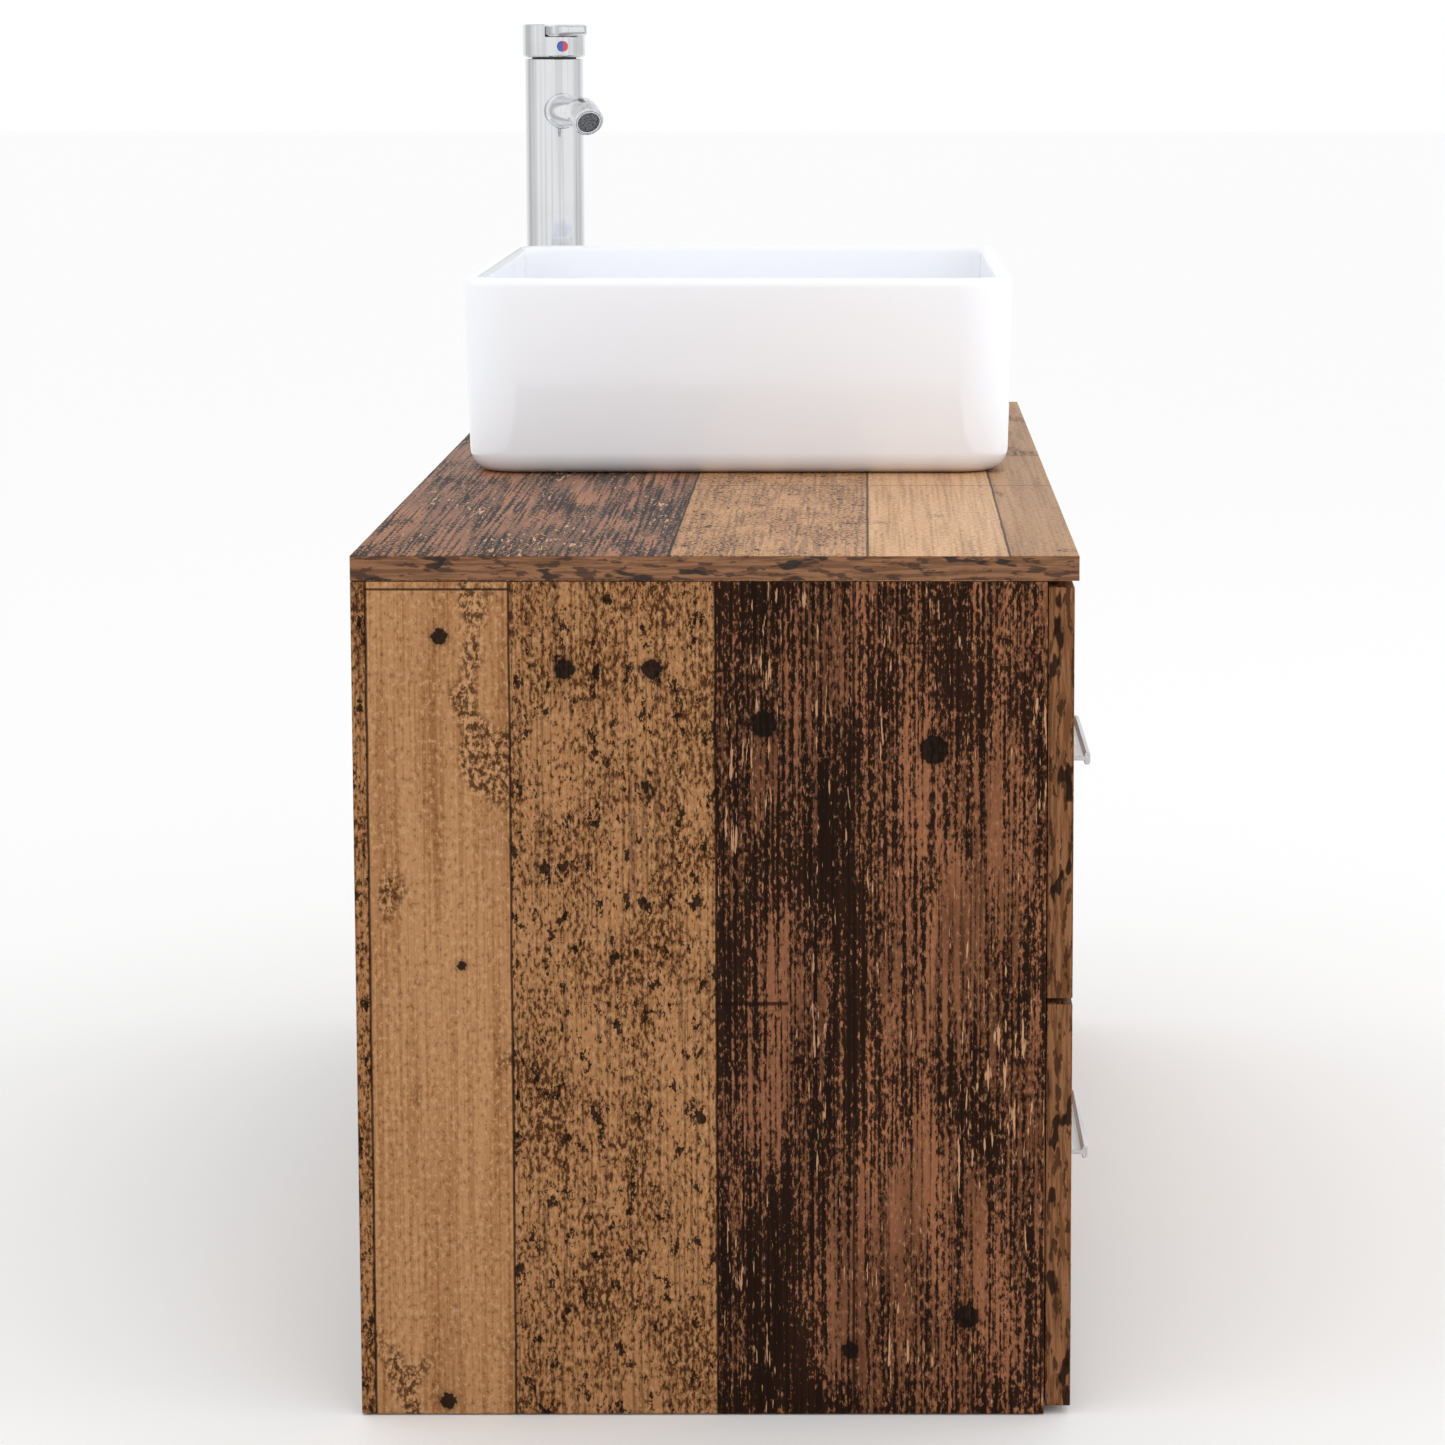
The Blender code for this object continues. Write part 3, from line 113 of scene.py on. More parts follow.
class BoardSettings(bpy.types.PropertyGroup):
    edge_round: length("Edge round", "Radius of every board's edges", 0.0006)
    tan: colour("Light plank", "Colour of the light planks", from_bytes(186, 139, 97))
    tan_deep: colour("Light plank grain", "Grain lines of the light planks", from_bytes(148, 102, 64))
    gleam: colour("Worn fibres", "Pale worn fibres of the lighter planks", from_bytes(200, 158, 118))
    brown: colour("Brown plank", "Colour of the brown planks", from_bytes(168, 124, 86))
    brown_worn: colour("Brown plank shade", "Darker areas of the brown planks", from_bytes(136, 94, 59))
    brown_deep: colour("Brown plank specks", "Specks of the brown planks", from_bytes(56, 29, 12))
    dark: colour("Dark plank", "Colour of the dark planks", from_bytes(140, 96, 70))
    dark_worn: colour("Dark plank shade", "Darker areas of the dark planks", from_bytes(98, 65, 46))
    dark_glow: colour("Dark plank fibres", "Light fibres of the dark planks", from_bytes(168, 125, 95))
    dark_deep: colour("Dark plank char", "Burnt patches of the dark planks", from_bytes(26, 14, 8))
    scratch: colour("Scratches", "Pale scratches in the dark planks", from_bytes(206, 165, 130))
    band: colour("Edge band", "Colour of the glued edge band", from_bytes(134, 92, 62))
    band_deep: colour("Edge band flecks", "Dark flecks of the edge band", from_bytes(52, 30, 16))
    drawer: colour("Drawer board", "Colour of the drawer boxes", from_bytes(205, 184, 158))


class BasinSettings(bpy.types.PropertyGroup):
    wall: length("Wall", "Thickness of the rim", 0.012)
    corner: length("Corner", "Radius of the upright corners", 0.038)
    foot: length("Foot round", "Radius where the walls meet the foot", 0.015)
    draft: length("Draft", "How far the walls lean in towards the foot", 0.003)
    floor: length("Floor", "Thickness of the floor at the drain", 0.020)
    fall: length("Fall", "How far the floor falls to the drain", 0.005)
    bowl: length("Bowl round", "Radius where the walls meet the floor", 0.024)
    glaze: colour("Glaze", "Colour of the glaze", from_bytes(247, 249, 254))


class TapSettings(bpy.types.PropertyGroup):
    edge: length("Edge", "Radius of the tap's turned edges", 0.0010)
    spout_reach: length("Spout reach", "From the tube's axis to the spout's mouth", 0.096)
    spout_round: length("Spout bend", "Radius that the spout bends round", 0.026)
    spout_nose: length("Spout nose", "Straight end of the spout past its bend", 0.008)
    spout_bend: bpy.props.FloatProperty(
        name="Spout angle", description="How far the spout bends down",
        default=math.radians(30), subtype="ANGLE",
    )
    lever_width: length("Lever width", "Width of the lever", 0.026)
    lever_reach: length("Lever reach", "From the lever's hinge to its tip", 0.060)
    chrome: colour("Chrome", "Colour of the chrome plate", from_bytes(226, 227, 229))
    # The colour of the painted reflections laid into the chrome: its dark bands and streaks.
    chrome_painted_reflection: colour("Chrome shade", "Colour of the chrome in its dim bands", from_bytes(168, 169, 171))
    cold: colour("Cold", "Cold half of the marker", from_bytes(20, 82, 190))
    hot: colour("Hot", "Hot half of the marker", from_bytes(222, 44, 58))


class FittingSettings(bpy.types.PropertyGroup):
    lip: length("Pull lip", "Height of the pull's lip", 0.0078)
    lip_thick: length("Pull lip thickness", "Thickness of the pull's lip", 0.0036)
    shelf: length("Pull shelf", "Thickness of the pull's shelf", 0.0028)
    aluminium: colour("Aluminium", "Colour of the pulls", from_bytes(205, 206, 208))
    zinc: colour("Zinc", "Colour of runners, hinges and brackets", from_bytes(190, 193, 197))
    plastic: colour("Plastic", "Colour of the trap", from_bytes(238, 238, 234))


class StudioSettings(bpy.types.PropertyGroup):
    distance: length("Distance", "From the side panel to the camera", 2.3955)
    eye_height: length("Eye height", "Camera height over the cabinet's underside", 0.8119)
    aside: length("Aside", "How far the camera stands in front of the cabinet's middle plane", 0.0800)
    tilt: bpy.props.FloatProperty(
        name="Tilt", description="How far the camera looks down",
        default=math.radians(6.895), subtype="ANGLE",
    )
    lens: bpy.props.FloatProperty(
        name="Lens", description="Focal length in millimetres", default=104.61, min=10.0
    )
    shift_x: bpy.props.FloatProperty(name="Shift across", description="Camera shift across", default=-0.0989)
    shift_y: bpy.props.FloatProperty(name="Shift up", description="Camera shift up", default=-0.1300)
    floor: colour("Floor", "Colour of the floor", (0.97, 0.97, 0.97))


class VanitySettings(bpy.types.PropertyGroup):
    boards: bpy.props.PointerProperty(type=BoardSettings)
    basin: bpy.props.PointerProperty(type=BasinSettings)
    tap: bpy.props.PointerProperty(type=TapSettings)
    fittings: bpy.props.PointerProperty(type=FittingSettings)
    studio: bpy.props.PointerProperty(type=StudioSettings)


# ---------------------------------------------------------------- material nodes
SEED_STEP = (13.7, 5.3)
# Sockets of the Mix node when it mixes colours.
MIX_FACTOR, MIX_FIRST, MIX_SECOND = 0, 6, 7
MIX_COLOUR = 2


class Value:
    """A socket that carries a number. Sums written with it become Math nodes."""

    def __init__(self, finish, socket):
        self.finish = finish
        self.socket = socket

    def __add__(self, other):
        return self.finish.math("ADD", self, other)

    def __sub__(self, other):
        return self.finish.math("SUBTRACT", self, other)

    def __rsub__(self, other):
        return self.finish.math("SUBTRACT", other, self)

    def __mul__(self, other):
        return self.finish.math("MULTIPLY", self, other)

    def __abs__(self):
        return self.finish.math("ABSOLUTE", self)

    __radd__ = __add__
    __rmul__ = __mul__


class Finish:
    """A material whose pattern is read in the piece's own coordinates and with its own normal."""

    def __init__(self, name, roughness=0.5, metallic=0.0, **constants):
        self.material = bpy.data.materials.new(name)
        self.material.use_nodes = True
        self.tree = self.material.node_tree
        self.surface = self.tree.nodes["Principled BSDF"]
        self.surface.inputs["Roughness"].default_value = roughness
        self.surface.inputs["Metallic"].default_value = metallic
        for socket, constant in constants.items():
            self.surface.inputs[socket.replace("_", " ")].default_value = constant
        coordinates = self.node("ShaderNodeTexCoord")
        self.place = coordinates.outputs["Object"]
        self.facing = coordinates.outputs["Normal"]

    def node(self, kind, settings=None, feeds=None):
        """A node of any type: its settings first, then the values or links of its sockets."""
        made = self.tree.nodes.new(kind)
        for key, setting in (settings or {}).items():
            setattr(made, key, setting)
        for key, feed in (feeds or {}).items():
            self.feed(made.inputs[key], feed)
        return made

    def feed(self, socket, feed):
        if isinstance(feed, Value):
            feed = feed.socket
        if isinstance(feed, bpy.types.NodeSocket):
            self.tree.links.new(feed, socket)
        elif socket.type == "RGBA" and len(feed) == 3:
            socket.default_value = (*feed, 1.0)
        else:
            socket.default_value = feed

    def math(self, operation, *values):
        made = self.node("ShaderNodeMath", {"operation": operation}, dict(enumerate(values)))
        return Value(self, made.outputs[0])

    def parts(self, vector):
        split = self.node("ShaderNodeSeparateXYZ", feeds={0: vector})
        return [Value(self, output) for output in split.outputs]

    def point(self, x, y, z=0.0):
        return self.node("ShaderNodeCombineXYZ", feeds={0: x, 1: y, 2: z}).outputs[0]

    def noise(self, place, scale=1.0, detail=2.0, roughness=0.5):
        feeds = {"Vector": place, "Scale": scale, "Detail": detail, "Roughness": roughness}
        return Value(self, self.node("ShaderNodeTexNoise", feeds=feeds).outputs[0])

    def grain(self, x, y, seed, detail, roughness=0.5):
        """Noise over a flat board, moved by the seed so that no two boards match."""
        place = self.point(x + seed * SEED_STEP[0], y + seed * SEED_STEP[1])
        feeds = {"Vector": place, "Scale": 1.0, "Detail": detail, "Roughness": roughness}
        made = self.node("ShaderNodeTexNoise", {"noise_dimensions": "2D"}, feeds)
        return Value(self, made.outputs[0])

    def cells(self, place, scale):
        feeds = {"Vector": place, "Scale": scale}
        made = self.node("ShaderNodeTexVoronoi", {"feature": "F1"}, feeds)
        return Value(self, made.outputs["Distance"])

    def ramp(self, value, low, high, start=0.0, end=1.0):
        """A smooth step from start to end as the value goes from low to high."""
        feeds = {"Value": value, 1: low, 2: high, 3: start, 4: end}
        made = self.node("ShaderNodeMapRange", {"interpolation_type": "SMOOTHSTEP"}, feeds)
        return Value(self, made.outputs[0])

    def above(self, value, limit):
        return self.math("GREATER_THAN", value, limit)

    def blend(self, amount, first, second, mode="MIX"):
        feeds = {MIX_FACTOR: amount, MIX_FIRST: first, MIX_SECOND: second}
        made = self.node("ShaderNodeMix", {"data_type": "RGBA", "blend_type": mode}, feeds)
        return made.outputs[MIX_COLOUR]

    def paint(self, **feeds):
        for socket, feed in feeds.items():
            self.feed(self.surface.inputs[socket.replace("_", " ")], feed)

    def bump(self, height, distance, strength=1.0):
        feeds = {"Height": height, "Distance": distance, "Strength": strength}
        self.paint(Normal=self.node("ShaderNodeBump", feeds=feeds).outputs[0])


# ---------------------------------------------------------------- reclaimed planks
def light_plank(finish, boards, across, along, wear, seed):
    """Pale softwood: saw lines along the grain, wide soft bands, and patches of crackled paint."""
    saw = finish.grain(across * 400, along * 5, seed, 2.0)
    wide = finish.grain(across * 48, along * 3, seed + 7, 2.0)
    patch = finish.grain(across * 20, along * 12, seed + 11, 2.0)
    flake = finish.grain(across * 330, along * 230, seed + 5, 4.0, 0.72)
    lines = finish.ramp(saw, 0.44, 0.64) * 0.52 + finish.ramp(wide, 0.40, 0.68) * 0.42
    shade = finish.blend(lines, boards.tan, boards.tan_deep)
    pores = finish.ramp(flake, 0.575, 0.645)
    shade = finish.blend(pores * 0.42, shade, boards.brown_deep)
    worn = finish.ramp(patch + wear, 0.60, 0.70) * finish.ramp(flake, 0.47, 0.54)
    shade = finish.blend(worn * 0.80, shade, boards.brown_deep)
    gleam = finish.ramp(flake, 0.45, 0.36) * 0.75
    return finish.blend(gleam, shade, boards.gleam), lines * 0.4 + worn + pores * 0.4


def brown_plank(finish, boards, across, along, wear, seed):
    """Weathered board: crowded dark specks that run along the grain, and black blots between them."""
    ground = finish.grain(across * 26, along * 14, seed, 3.0, 0.6)
    grit = finish.grain(across * 430, along * 205, seed + 2, 4.0, 0.70)
    saw = finish.grain(across * 420, along * 8, seed + 4, 2.0)
    blot = finish.grain(across * 105, along * 62, seed + 6, 4.0, 0.72)
    shade = finish.blend(finish.ramp(ground, 0.36, 0.64) * 0.6, boards.brown, boards.brown_worn)
    shade = finish.blend(finish.ramp(saw, 0.48, 0.66) * 0.50, shade, boards.brown_deep)
    shade = finish.blend(finish.ramp(grit, 0.45, 0.36) * 0.55, shade, boards.gleam)
    specks = finish.ramp(grit + (ground - 0.5) * 0.30 + wear, 0.530, 0.585)
    shade = finish.blend(specks * 0.86, shade, boards.brown_deep)
    blots = finish.ramp(blot + wear, 0.595, 0.635)
    return finish.blend(blots * 0.92, shade, boards.dark_deep), specks * 0.8 + blots


def dark_plank(finish, boards, across, along, wear, seed):
    """Burnt board: char broken up by grit and saw lines, with pale torn fibres where it is worn."""
    patch = finish.grain(across * 21, along * 6.5, seed, 3.0, 0.62)
    grit = finish.grain(across * 440, along * 185, seed + 2, 5.0, 0.74)
    saw = finish.grain(across * 440, along * 7, seed + 4, 2.0)
    tone = finish.grain(across * 36, along * 5, seed + 6, 2.0)
    shade = finish.blend(finish.ramp(tone, 0.36, 0.66), boards.dark, boards.dark_worn)
    shade = finish.blend(finish.ramp(saw, 0.47, 0.62) * 0.55, shade, boards.dark_deep)
    char = patch * 0.33 + grit * 0.43 + saw * 0.24 + wear
    burnt = finish.ramp(char, 0.480, 0.530)
    shade = finish.blend(burnt * 0.94, shade, boards.dark_deep)
    glow = finish.ramp(grit, 0.44, 0.34) * (1 - burnt)
    shade = finish.blend(glow * 0.60, shade, boards.dark_glow)
    torn = finish.grain(across * 400, along * 42, seed + 8, 3.0, 0.6)
    tears = finish.ramp(torn + (tone - 0.5) * 0.55, 0.705, 0.755)
    return finish.blend(tears * 0.75, shade, boards.scratch), burnt * 0.7 + finish.ramp(saw, 0.47, 0.62) * 0.4


PLANK_LOOKS = {"light": light_plank, "brown": brown_plank, "dark": dark_plank}
# A joint between planks: how far it wanders, and where its dark line is full and gone.
JOINT_WANDER = 0.0010
JOINT_WIDTH = (0.0004, 0.0011)


def plank_field(finish, boards, across, along, planks, seed):
    """Planks side by side: (where it ends, its look, its tint, its wear), with a dark joint between two."""
    wander = finish.grain(across * 60, along * 22, seed + 40, 2.0) * JOINT_WANDER - JOINT_WANDER / 2
    edge_at = across + wander
    begins = [plank[0] for plank in planks[:-1]]
    here = [finish.above(edge_at, start) for start in begins]
    wear = planks[0][3]
    for inside, before, plank in zip(here, planks, planks[1:]):
        wear = wear + inside * (plank[3] - before[3])
    looks = {
        look: PLANK_LOOKS[look](finish, boards, across, along, wear, seed + 17 * number)
        for number, look in enumerate(sorted({plank[1] for plank in planks}))
    }
    shade, relief = looks[planks[0][1]]
    shade = finish.blend(1.0, shade, planks[0][2], "MULTIPLY")
    joints = 0.0
    for start, inside, plank in zip(begins, here, planks[1:]):
        own, own_relief = looks[plank[1]]
        shade = finish.blend(inside, shade, finish.blend(1.0, own, plank[2], "MULTIPLY"))
        relief = relief + (own_relief - relief) * inside
        joints = finish.ramp(abs(edge_at - start), *JOINT_WIDTH, 1.0, 0.0) + joints
    return finish.blend(joints * 0.85, shade, boards.dark_deep), relief + joints


# How far the rim of a hole is torn, and the value at which the tearing is even.
RIM_RAGGED = 0.0042
RIM_MIDDLE = 0.0022


def knots(finish, boards, shade, relief, across, along, places):
    """Round nail holes and knots, (across, along, radius), with a ragged rim and a scorched halo."""
    ragged = finish.grain(across * 380, along * 380, 5.0, 3.0, 0.6) * RIM_RAGGED
    nearest = None
    for at_across, at_along, radius in places:
        gap = finish.math("POWER", (across - at_across) * (across - at_across)
                          + (along - at_along) * (along - at_along), 0.5) - radius
        nearest = gap if nearest is None else finish.math("MINIMUM", nearest, gap)
    nearest = nearest + ragged - RIM_MIDDLE
    hole = finish.ramp(nearest, -0.0005, 0.0003, 1.0, 0.0)
    halo = finish.ramp(nearest, 0.0, 0.0034, 1.0, 0.0)
    shade = finish.blend(halo * 0.28, shade, boards.dark_deep)
    return finish.blend(hole * 0.93, shade, from_bytes(20, 13, 10)), relief + hole * 1.6


# How far from a board's middle plane the worn line at its arris begins and is full.
ARRIS_FROM, ARRIS_TO = 0.0062, 0.0072


def edge_band(finish, boards, across, along, thick, seed):
    """The glued band on a board's edge: lines along it, dark flecks, a thin worn line at the arrises."""
    lines = finish.grain(across * 420, along * 26, seed, 3.0, 0.65)
    fleck = finish.grain(across * 230, along * 62, seed + 2, 3.0, 0.62)
    blot = finish.grain(across * 105, along * 34, seed + 3, 2.0)
    shade = finish.blend(finish.ramp(lines, 0.40, 0.60) * 0.80, boards.band, from_bytes(92, 58, 34))
    shade = finish.blend(finish.ramp(fleck, 0.54, 0.61) * 0.80, shade, boards.band_deep)
    shade = finish.blend(finish.ramp(blot, 0.62, 0.67) * 0.90, shade, boards.dark_deep)
    middle = abs(across - thick)
    arris = finish.ramp(middle, ARRIS_FROM, ARRIS_TO)
    return finish.blend(arris * 0.45, shade, from_bytes(84, 50, 28)), lines


def wood_finish(name, boards, thin, planks, seed, across_from, seams=(), nails=(), thick=0.0, sheen=0.05):
    """Decor board. thin is the axis of the board's thickness: 0 for X, 1 for Y, 2 for Z."""
    finish = Finish(name, roughness=0.55, Specular_IOR_Level=sheen)
    axes = finish.parts(finish.place)
    facing = finish.parts(finish.facing)
    across_axis, along_axis = {0: (1, 2), 1: (2, 0), 2: (1, 0)}[thin]
    across = across_from - axes[across_axis]
    along = axes[along_axis]
    shade, relief = plank_field(finish, boards, across, along, planks, seed)
    for across_low, across_high, at_along, width in seams:
        inside = finish.above(across, across_low) * (1 - finish.above(across, across_high))
        seam = finish.ramp(abs(along - at_along), width * 0.4, width, 1.0, 0.0) * inside
        shade = finish.blend(seam * 0.85, shade, boards.dark_deep)
        relief = relief + seam
    if nails:
        shade, relief = knots(finish, boards, shade, relief, across, along, nails)
    others = [axis for axis in range(3) if axis != thin]
    first_faces = finish.above(abs(facing[others[0]]), 0.5)
    run = axes[others[0]] + (axes[others[1]] - axes[others[0]]) * first_faces
    band, band_relief = edge_band(finish, boards, axes[thin], run, thick, seed + 60)
    on_face = finish.ramp(abs(facing[thin]), 0.45, 0.60)
    shade = finish.blend(on_face, band, shade)
    relief = relief * on_face + band_relief * 0.5 * (1 - on_face)
    gloss = finish.ramp(relief, 0.0, 1.6, 0.47, 0.66)
    finish.paint(Base_Color=shade, Roughness=gloss)
    finish.bump(1 - relief * 0.5, 0.00018, 0.55)
    return finish.material


# Planks of each board: where one ends, its look, its tint and its wear.
SIDE_PLANKS = (
    (0.0086, "brown", (0.84, 0.77, 0.68), 0.00),
    (0.0910, "light", (0.84, 0.82, 0.78), 0.01),
    (0.2100, "brown", (0.88, 0.83, 0.76), 0.00),
    (0.2900, "dark", (0.84, 0.76, 0.70), 0.030),
    (0.4400, "dark", (0.96, 0.86, 0.78), -0.002),
)
TOP_PLANKS = (
    (0.1835, "dark", (1.31, 1.21, 1.06), 0.000),
    (0.2980, "brown", (1.32, 1.30, 1.18), -0.030),
    (0.3800, "light", (1.34, 1.45, 1.50), -0.060),
    (0.4400, "light", (0.87, 0.81, 0.57), -0.020),
)
FRONT_PLANKS = (
    (0.0700, "light", (0.98, 0.97, 0.95), 0.01),
    (0.1650, "brown", (1.00, 1.00, 1.00), 0.00),
    (0.2460, "dark", (0.95, 0.93, 0.92), 0.020),
    (0.3350, "brown", (0.88, 0.86, 0.84), 0.010),
    (0.4200, "light", (1.04, 1.03, 1.02), 0.00),
    (0.5200, "dark", (1.00, 0.98, 0.96), -0.010),
)
# Saw cuts across planks: from, to, where along the board, and width.
SIDE_SEAMS = ((0.0086, 0.0910, 0.4905, 0.0010), (0.2100, 0.2520, 0.2470, 0.0016))
TOP_SEAMS = ((0.17, 0.44, -0.128, 0.0012),)
FRONT_SEAMS = ((0.0, 0.070, 0.145, 0.0010), (0.165, 0.246, -0.215, 0.0010))
# Nail holes and knots: across, along and radius.
FRONT_NAILS = ((0.036, -0.402, 0.0050), (0.205, 0.262, 0.0070), (0.378, -0.020, 0.0060))
SIDE_NAILS = (
    (0.051, 0.463, 0.0048),
    (0.123, 0.444, 0.0058),
    (0.1735, 0.444, 0.0058),
    (0.238, 0.412, 0.0078),
    (0.3365, 0.397, 0.0082),
    (0.062, 0.2695, 0.0028),
    (0.051, 0.008, 0.0048),
    (0.288, 0.039, 0.0050),
    (0.3565, 0.059, 0.0070),
)


# ---------------------------------------------------------------- other finishes
def glaze_finish(settings):
    """White glaze: a faint orange peel under a clear coat, greyer and rougher over the lowest 4 mm, where the
    basin meets the counter.
    """
    finish = Finish("white_glaze", roughness=0.10, Coat_Weight=0.6, Coat_Roughness=0.03, IOR=1.52)
    height = finish.parts(finish.place)[2]
    cloud = finish.noise(finish.place, 14.0, detail=2.0)
    # Greyer and rougher over the lowest 4 mm, where the basin meets the counter.
    foot = finish.ramp(height, COUNTER_Z, COUNTER_Z + 0.004, 1.0, 0.0)
    shade = finish.blend(finish.ramp(cloud, 0.3, 0.7) * 0.04, settings.glaze, from_bytes(241, 243, 250))
    shade = finish.blend(foot * 0.5, shade, from_bytes(214, 210, 204))
    peel = finish.noise(finish.place, 240.0, detail=1.0)
    finish.paint(Base_Color=shade, Roughness=finish.ramp(cloud, 0.3, 0.7, 0.07, 0.13) + foot * 0.3)
    finish.bump(peel, 0.00003, 0.25)
    return finish.material


def chrome_finish(settings, name="polished_chrome"):
    """Chrome plate with a trace of wiping marks in its gloss, and painted reflections: darker bands where the
    surface turns from the view, and fine upright streaks in place of the room it mirrors.
    """
    finish = Finish(name, metallic=1.0)
    wipe = finish.noise(finish.place, 60.0, detail=3.0, roughness=0.6)
    away = Value(finish, finish.node("ShaderNodeLayerWeight", feeds={"Blend": 0.5}).outputs["Facing"])
    shade = finish.blend(finish.ramp(wipe, 0.35, 0.75) * 0.10, settings.chrome, from_bytes(205, 207, 211))
    # Painted reflection: the colour darkens in a band where the surface turns away from the view.
    painted_reflection = finish.ramp(away, 0.16, 0.34) * finish.ramp(away, 0.74, 0.50)
    x, y, z = finish.parts(finish.place)
    # Painted reflection: fine upright streaks that stand in for the room mirrored in the chrome.
    reflection_streak = finish.noise(finish.point(x * 300, y * 300, z * 3), detail=2.0)
    painted_reflection = painted_reflection * 0.50 + finish.ramp(reflection_streak, 0.46, 0.62) * 0.30
    shade = finish.blend(painted_reflection, shade, settings.chrome_painted_reflection)
    finish.paint(Base_Color=shade, Roughness=finish.ramp(wipe, 0.3, 0.8, 0.035, 0.085))
    finish.bump(wipe, 0.00002, 0.15)
    return finish.material


def aluminium_finish(name, settings, along):
    """Satin anodised aluminium with drawing lines along the extrusion."""
    finish = Finish(name, metallic=1.0)
    stretch = [900.0, 900.0, 900.0]
    stretch[along] = 14.0
    x, y, z = finish.parts(finish.place)
    lines = finish.noise(finish.point(x * stretch[0], y * stretch[1], z * stretch[2]), detail=3.0)
    shade = finish.blend(finish.ramp(lines, 0.3, 0.7) * 0.30, settings.aluminium, from_bytes(158, 160, 163))
    finish.paint(Base_Color=shade, Roughness=finish.ramp(lines, 0.3, 0.7, 0.26, 0.38))
    finish.bump(lines, 0.00004, 0.35)
    return finish.material


def zinc_finish(settings):
    """Zinc plate: faint spangle, and dull smears where oil has dried."""
    finish = Finish("zinc_plate", metallic=1.0)
    spangle = finish.cells(finish.place, 260.0)
    smear = finish.noise(finish.place, 30.0, detail=3.0)
    shade = finish.blend(finish.ramp(spangle, 0.1, 0.8) * 0.35, settings.zinc, from_bytes(140, 146, 152))
    finish.paint(Base_Color=shade, Roughness=finish.ramp(smear, 0.3, 0.7, 0.26, 0.44))
    finish.bump(spangle, 0.00003, 0.2)
    return finish.material


def moulded_finish(name, shade, deep, low, high, scale):
    """Moulded plastic or rubber: a fine eroded grain, and a slow change of tone."""
    finish = Finish(name)
    grain = finish.noise(finish.place, scale, detail=3.0, roughness=0.6)
    tone = finish.noise(finish.place, 18.0, detail=2.0)
    blended = finish.blend(finish.ramp(tone, 0.3, 0.7) * 0.25, shade, deep)
    finish.paint(Base_Color=blended, Roughness=finish.ramp(grain, 0.3, 0.7, low, high))
    finish.bump(grain, 0.00004, 0.3)
    return finish.material


def drawer_board_finish(settings):
    """Plain light melamine with a short printed grain."""
    finish = Finish("drawer_melamine")
    x, y, z = finish.parts(finish.place)
    lines = finish.noise(finish.point(x * 90, y * 8, z * 300), detail=4.0, roughness=0.6)
    fine = finish.noise(finish.point(x * 600, y * 40, z * 900), detail=2.0)
    shade = finish.blend(finish.ramp(lines, 0.35, 0.68) * 0.6, settings.drawer, from_bytes(176, 150, 120))
    shade = finish.blend(finish.ramp(fine, 0.55, 0.75) * 0.35, shade, from_bytes(146, 118, 90))
    finish.paint(Base_Color=shade, Roughness=finish.ramp(fine, 0.3, 0.7, 0.42, 0.55))
    finish.bump(lines, 0.00005, 0.3)
    return finish.material


def marker_finish(settings, centre):
    """Two enamel halves, cold and hot, parted by a fine pale line."""
    finish = Finish("marker_enamel", roughness=0.18, Coat_Weight=0.8)
    x, y, _ = finish.parts(finish.place)
    turned = (x - centre.x) * math.sin(TAP_TURN) - (y - centre.y) * math.cos(TAP_TURN)
    speck = finish.noise(finish.place, 2600.0, detail=1.0)
    shade = finish.blend(finish.above(turned, 0.0), settings.cold, settings.hot)
    shade = finish.blend(finish.ramp(speck, 0.4, 0.8) * 0.08, shade, (1.0, 1.0, 1.0))
    finish.paint(Base_Color=shade, Roughness=finish.ramp(speck, 0.3, 0.7, 0.14, 0.22))
    return finish.material


def screen_finish():
    """The aerator's screen: dark round openings between pale wires."""
    finish = Finish("aerator_screen", metallic=0.2)
    holes = finish.cells(finish.place, 900.0)
    mesh = finish.ramp(holes, 0.32, 0.52)
    shade = finish.blend(mesh, from_bytes(44, 45, 46), from_bytes(104, 105, 107))
    finish.paint(Base_Color=shade, Roughness=finish.ramp(holes, 0.3, 0.6, 0.5, 0.3))
    finish.bump(mesh, 0.0002, 0.6)
    return finish.material


# ---------------------------------------------------------------- meshes
def add_piece(name, mesh, finish, body, *nodes, slot=None):
    """A finished piece that stands for CAD nodes and moves with their body."""
    piece = bpy.data.objects.new(name, mesh)
    bpy.context.scene.collection.objects.link(piece)
    mesh.materials.clear()
    mesh.materials.append(finish)
    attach(piece, body)
    if nodes:
        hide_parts(*nodes)
    return piece


def body_holding(node):
    for body, members in frame["record"]["behaviour"]["bodies"].items():
        if node in members:
            return body
    raise RuntimeError(f"no body holds {node}")


def slot_of(node):
    for entry in frame["record"]["subparts"]:
        if entry["node"] == node:
            return entry["material_slot"]
    raise RuntimeError(f"{node} has no material slot")


WELD = 0.000005
CAD_WELD = 0.00001
SHARP = math.radians(38)


def finish_mesh(mesh, sharp=SHARP):
    """Welds poles and seams, turns faces outwards, and shades the round faces smooth."""
    shape = bmesh.new()
    shape.from_mesh(mesh)
    bmesh.ops.remove_doubles(shape, verts=shape.verts, dist=WELD)
    bmesh.ops.recalc_face_normals(shape, faces=shape.faces)
    shape.to_mesh(mesh)
    shape.free()
    mesh.shade_smooth()
    mesh.set_sharp_from_angle(angle=sharp)
    return mesh


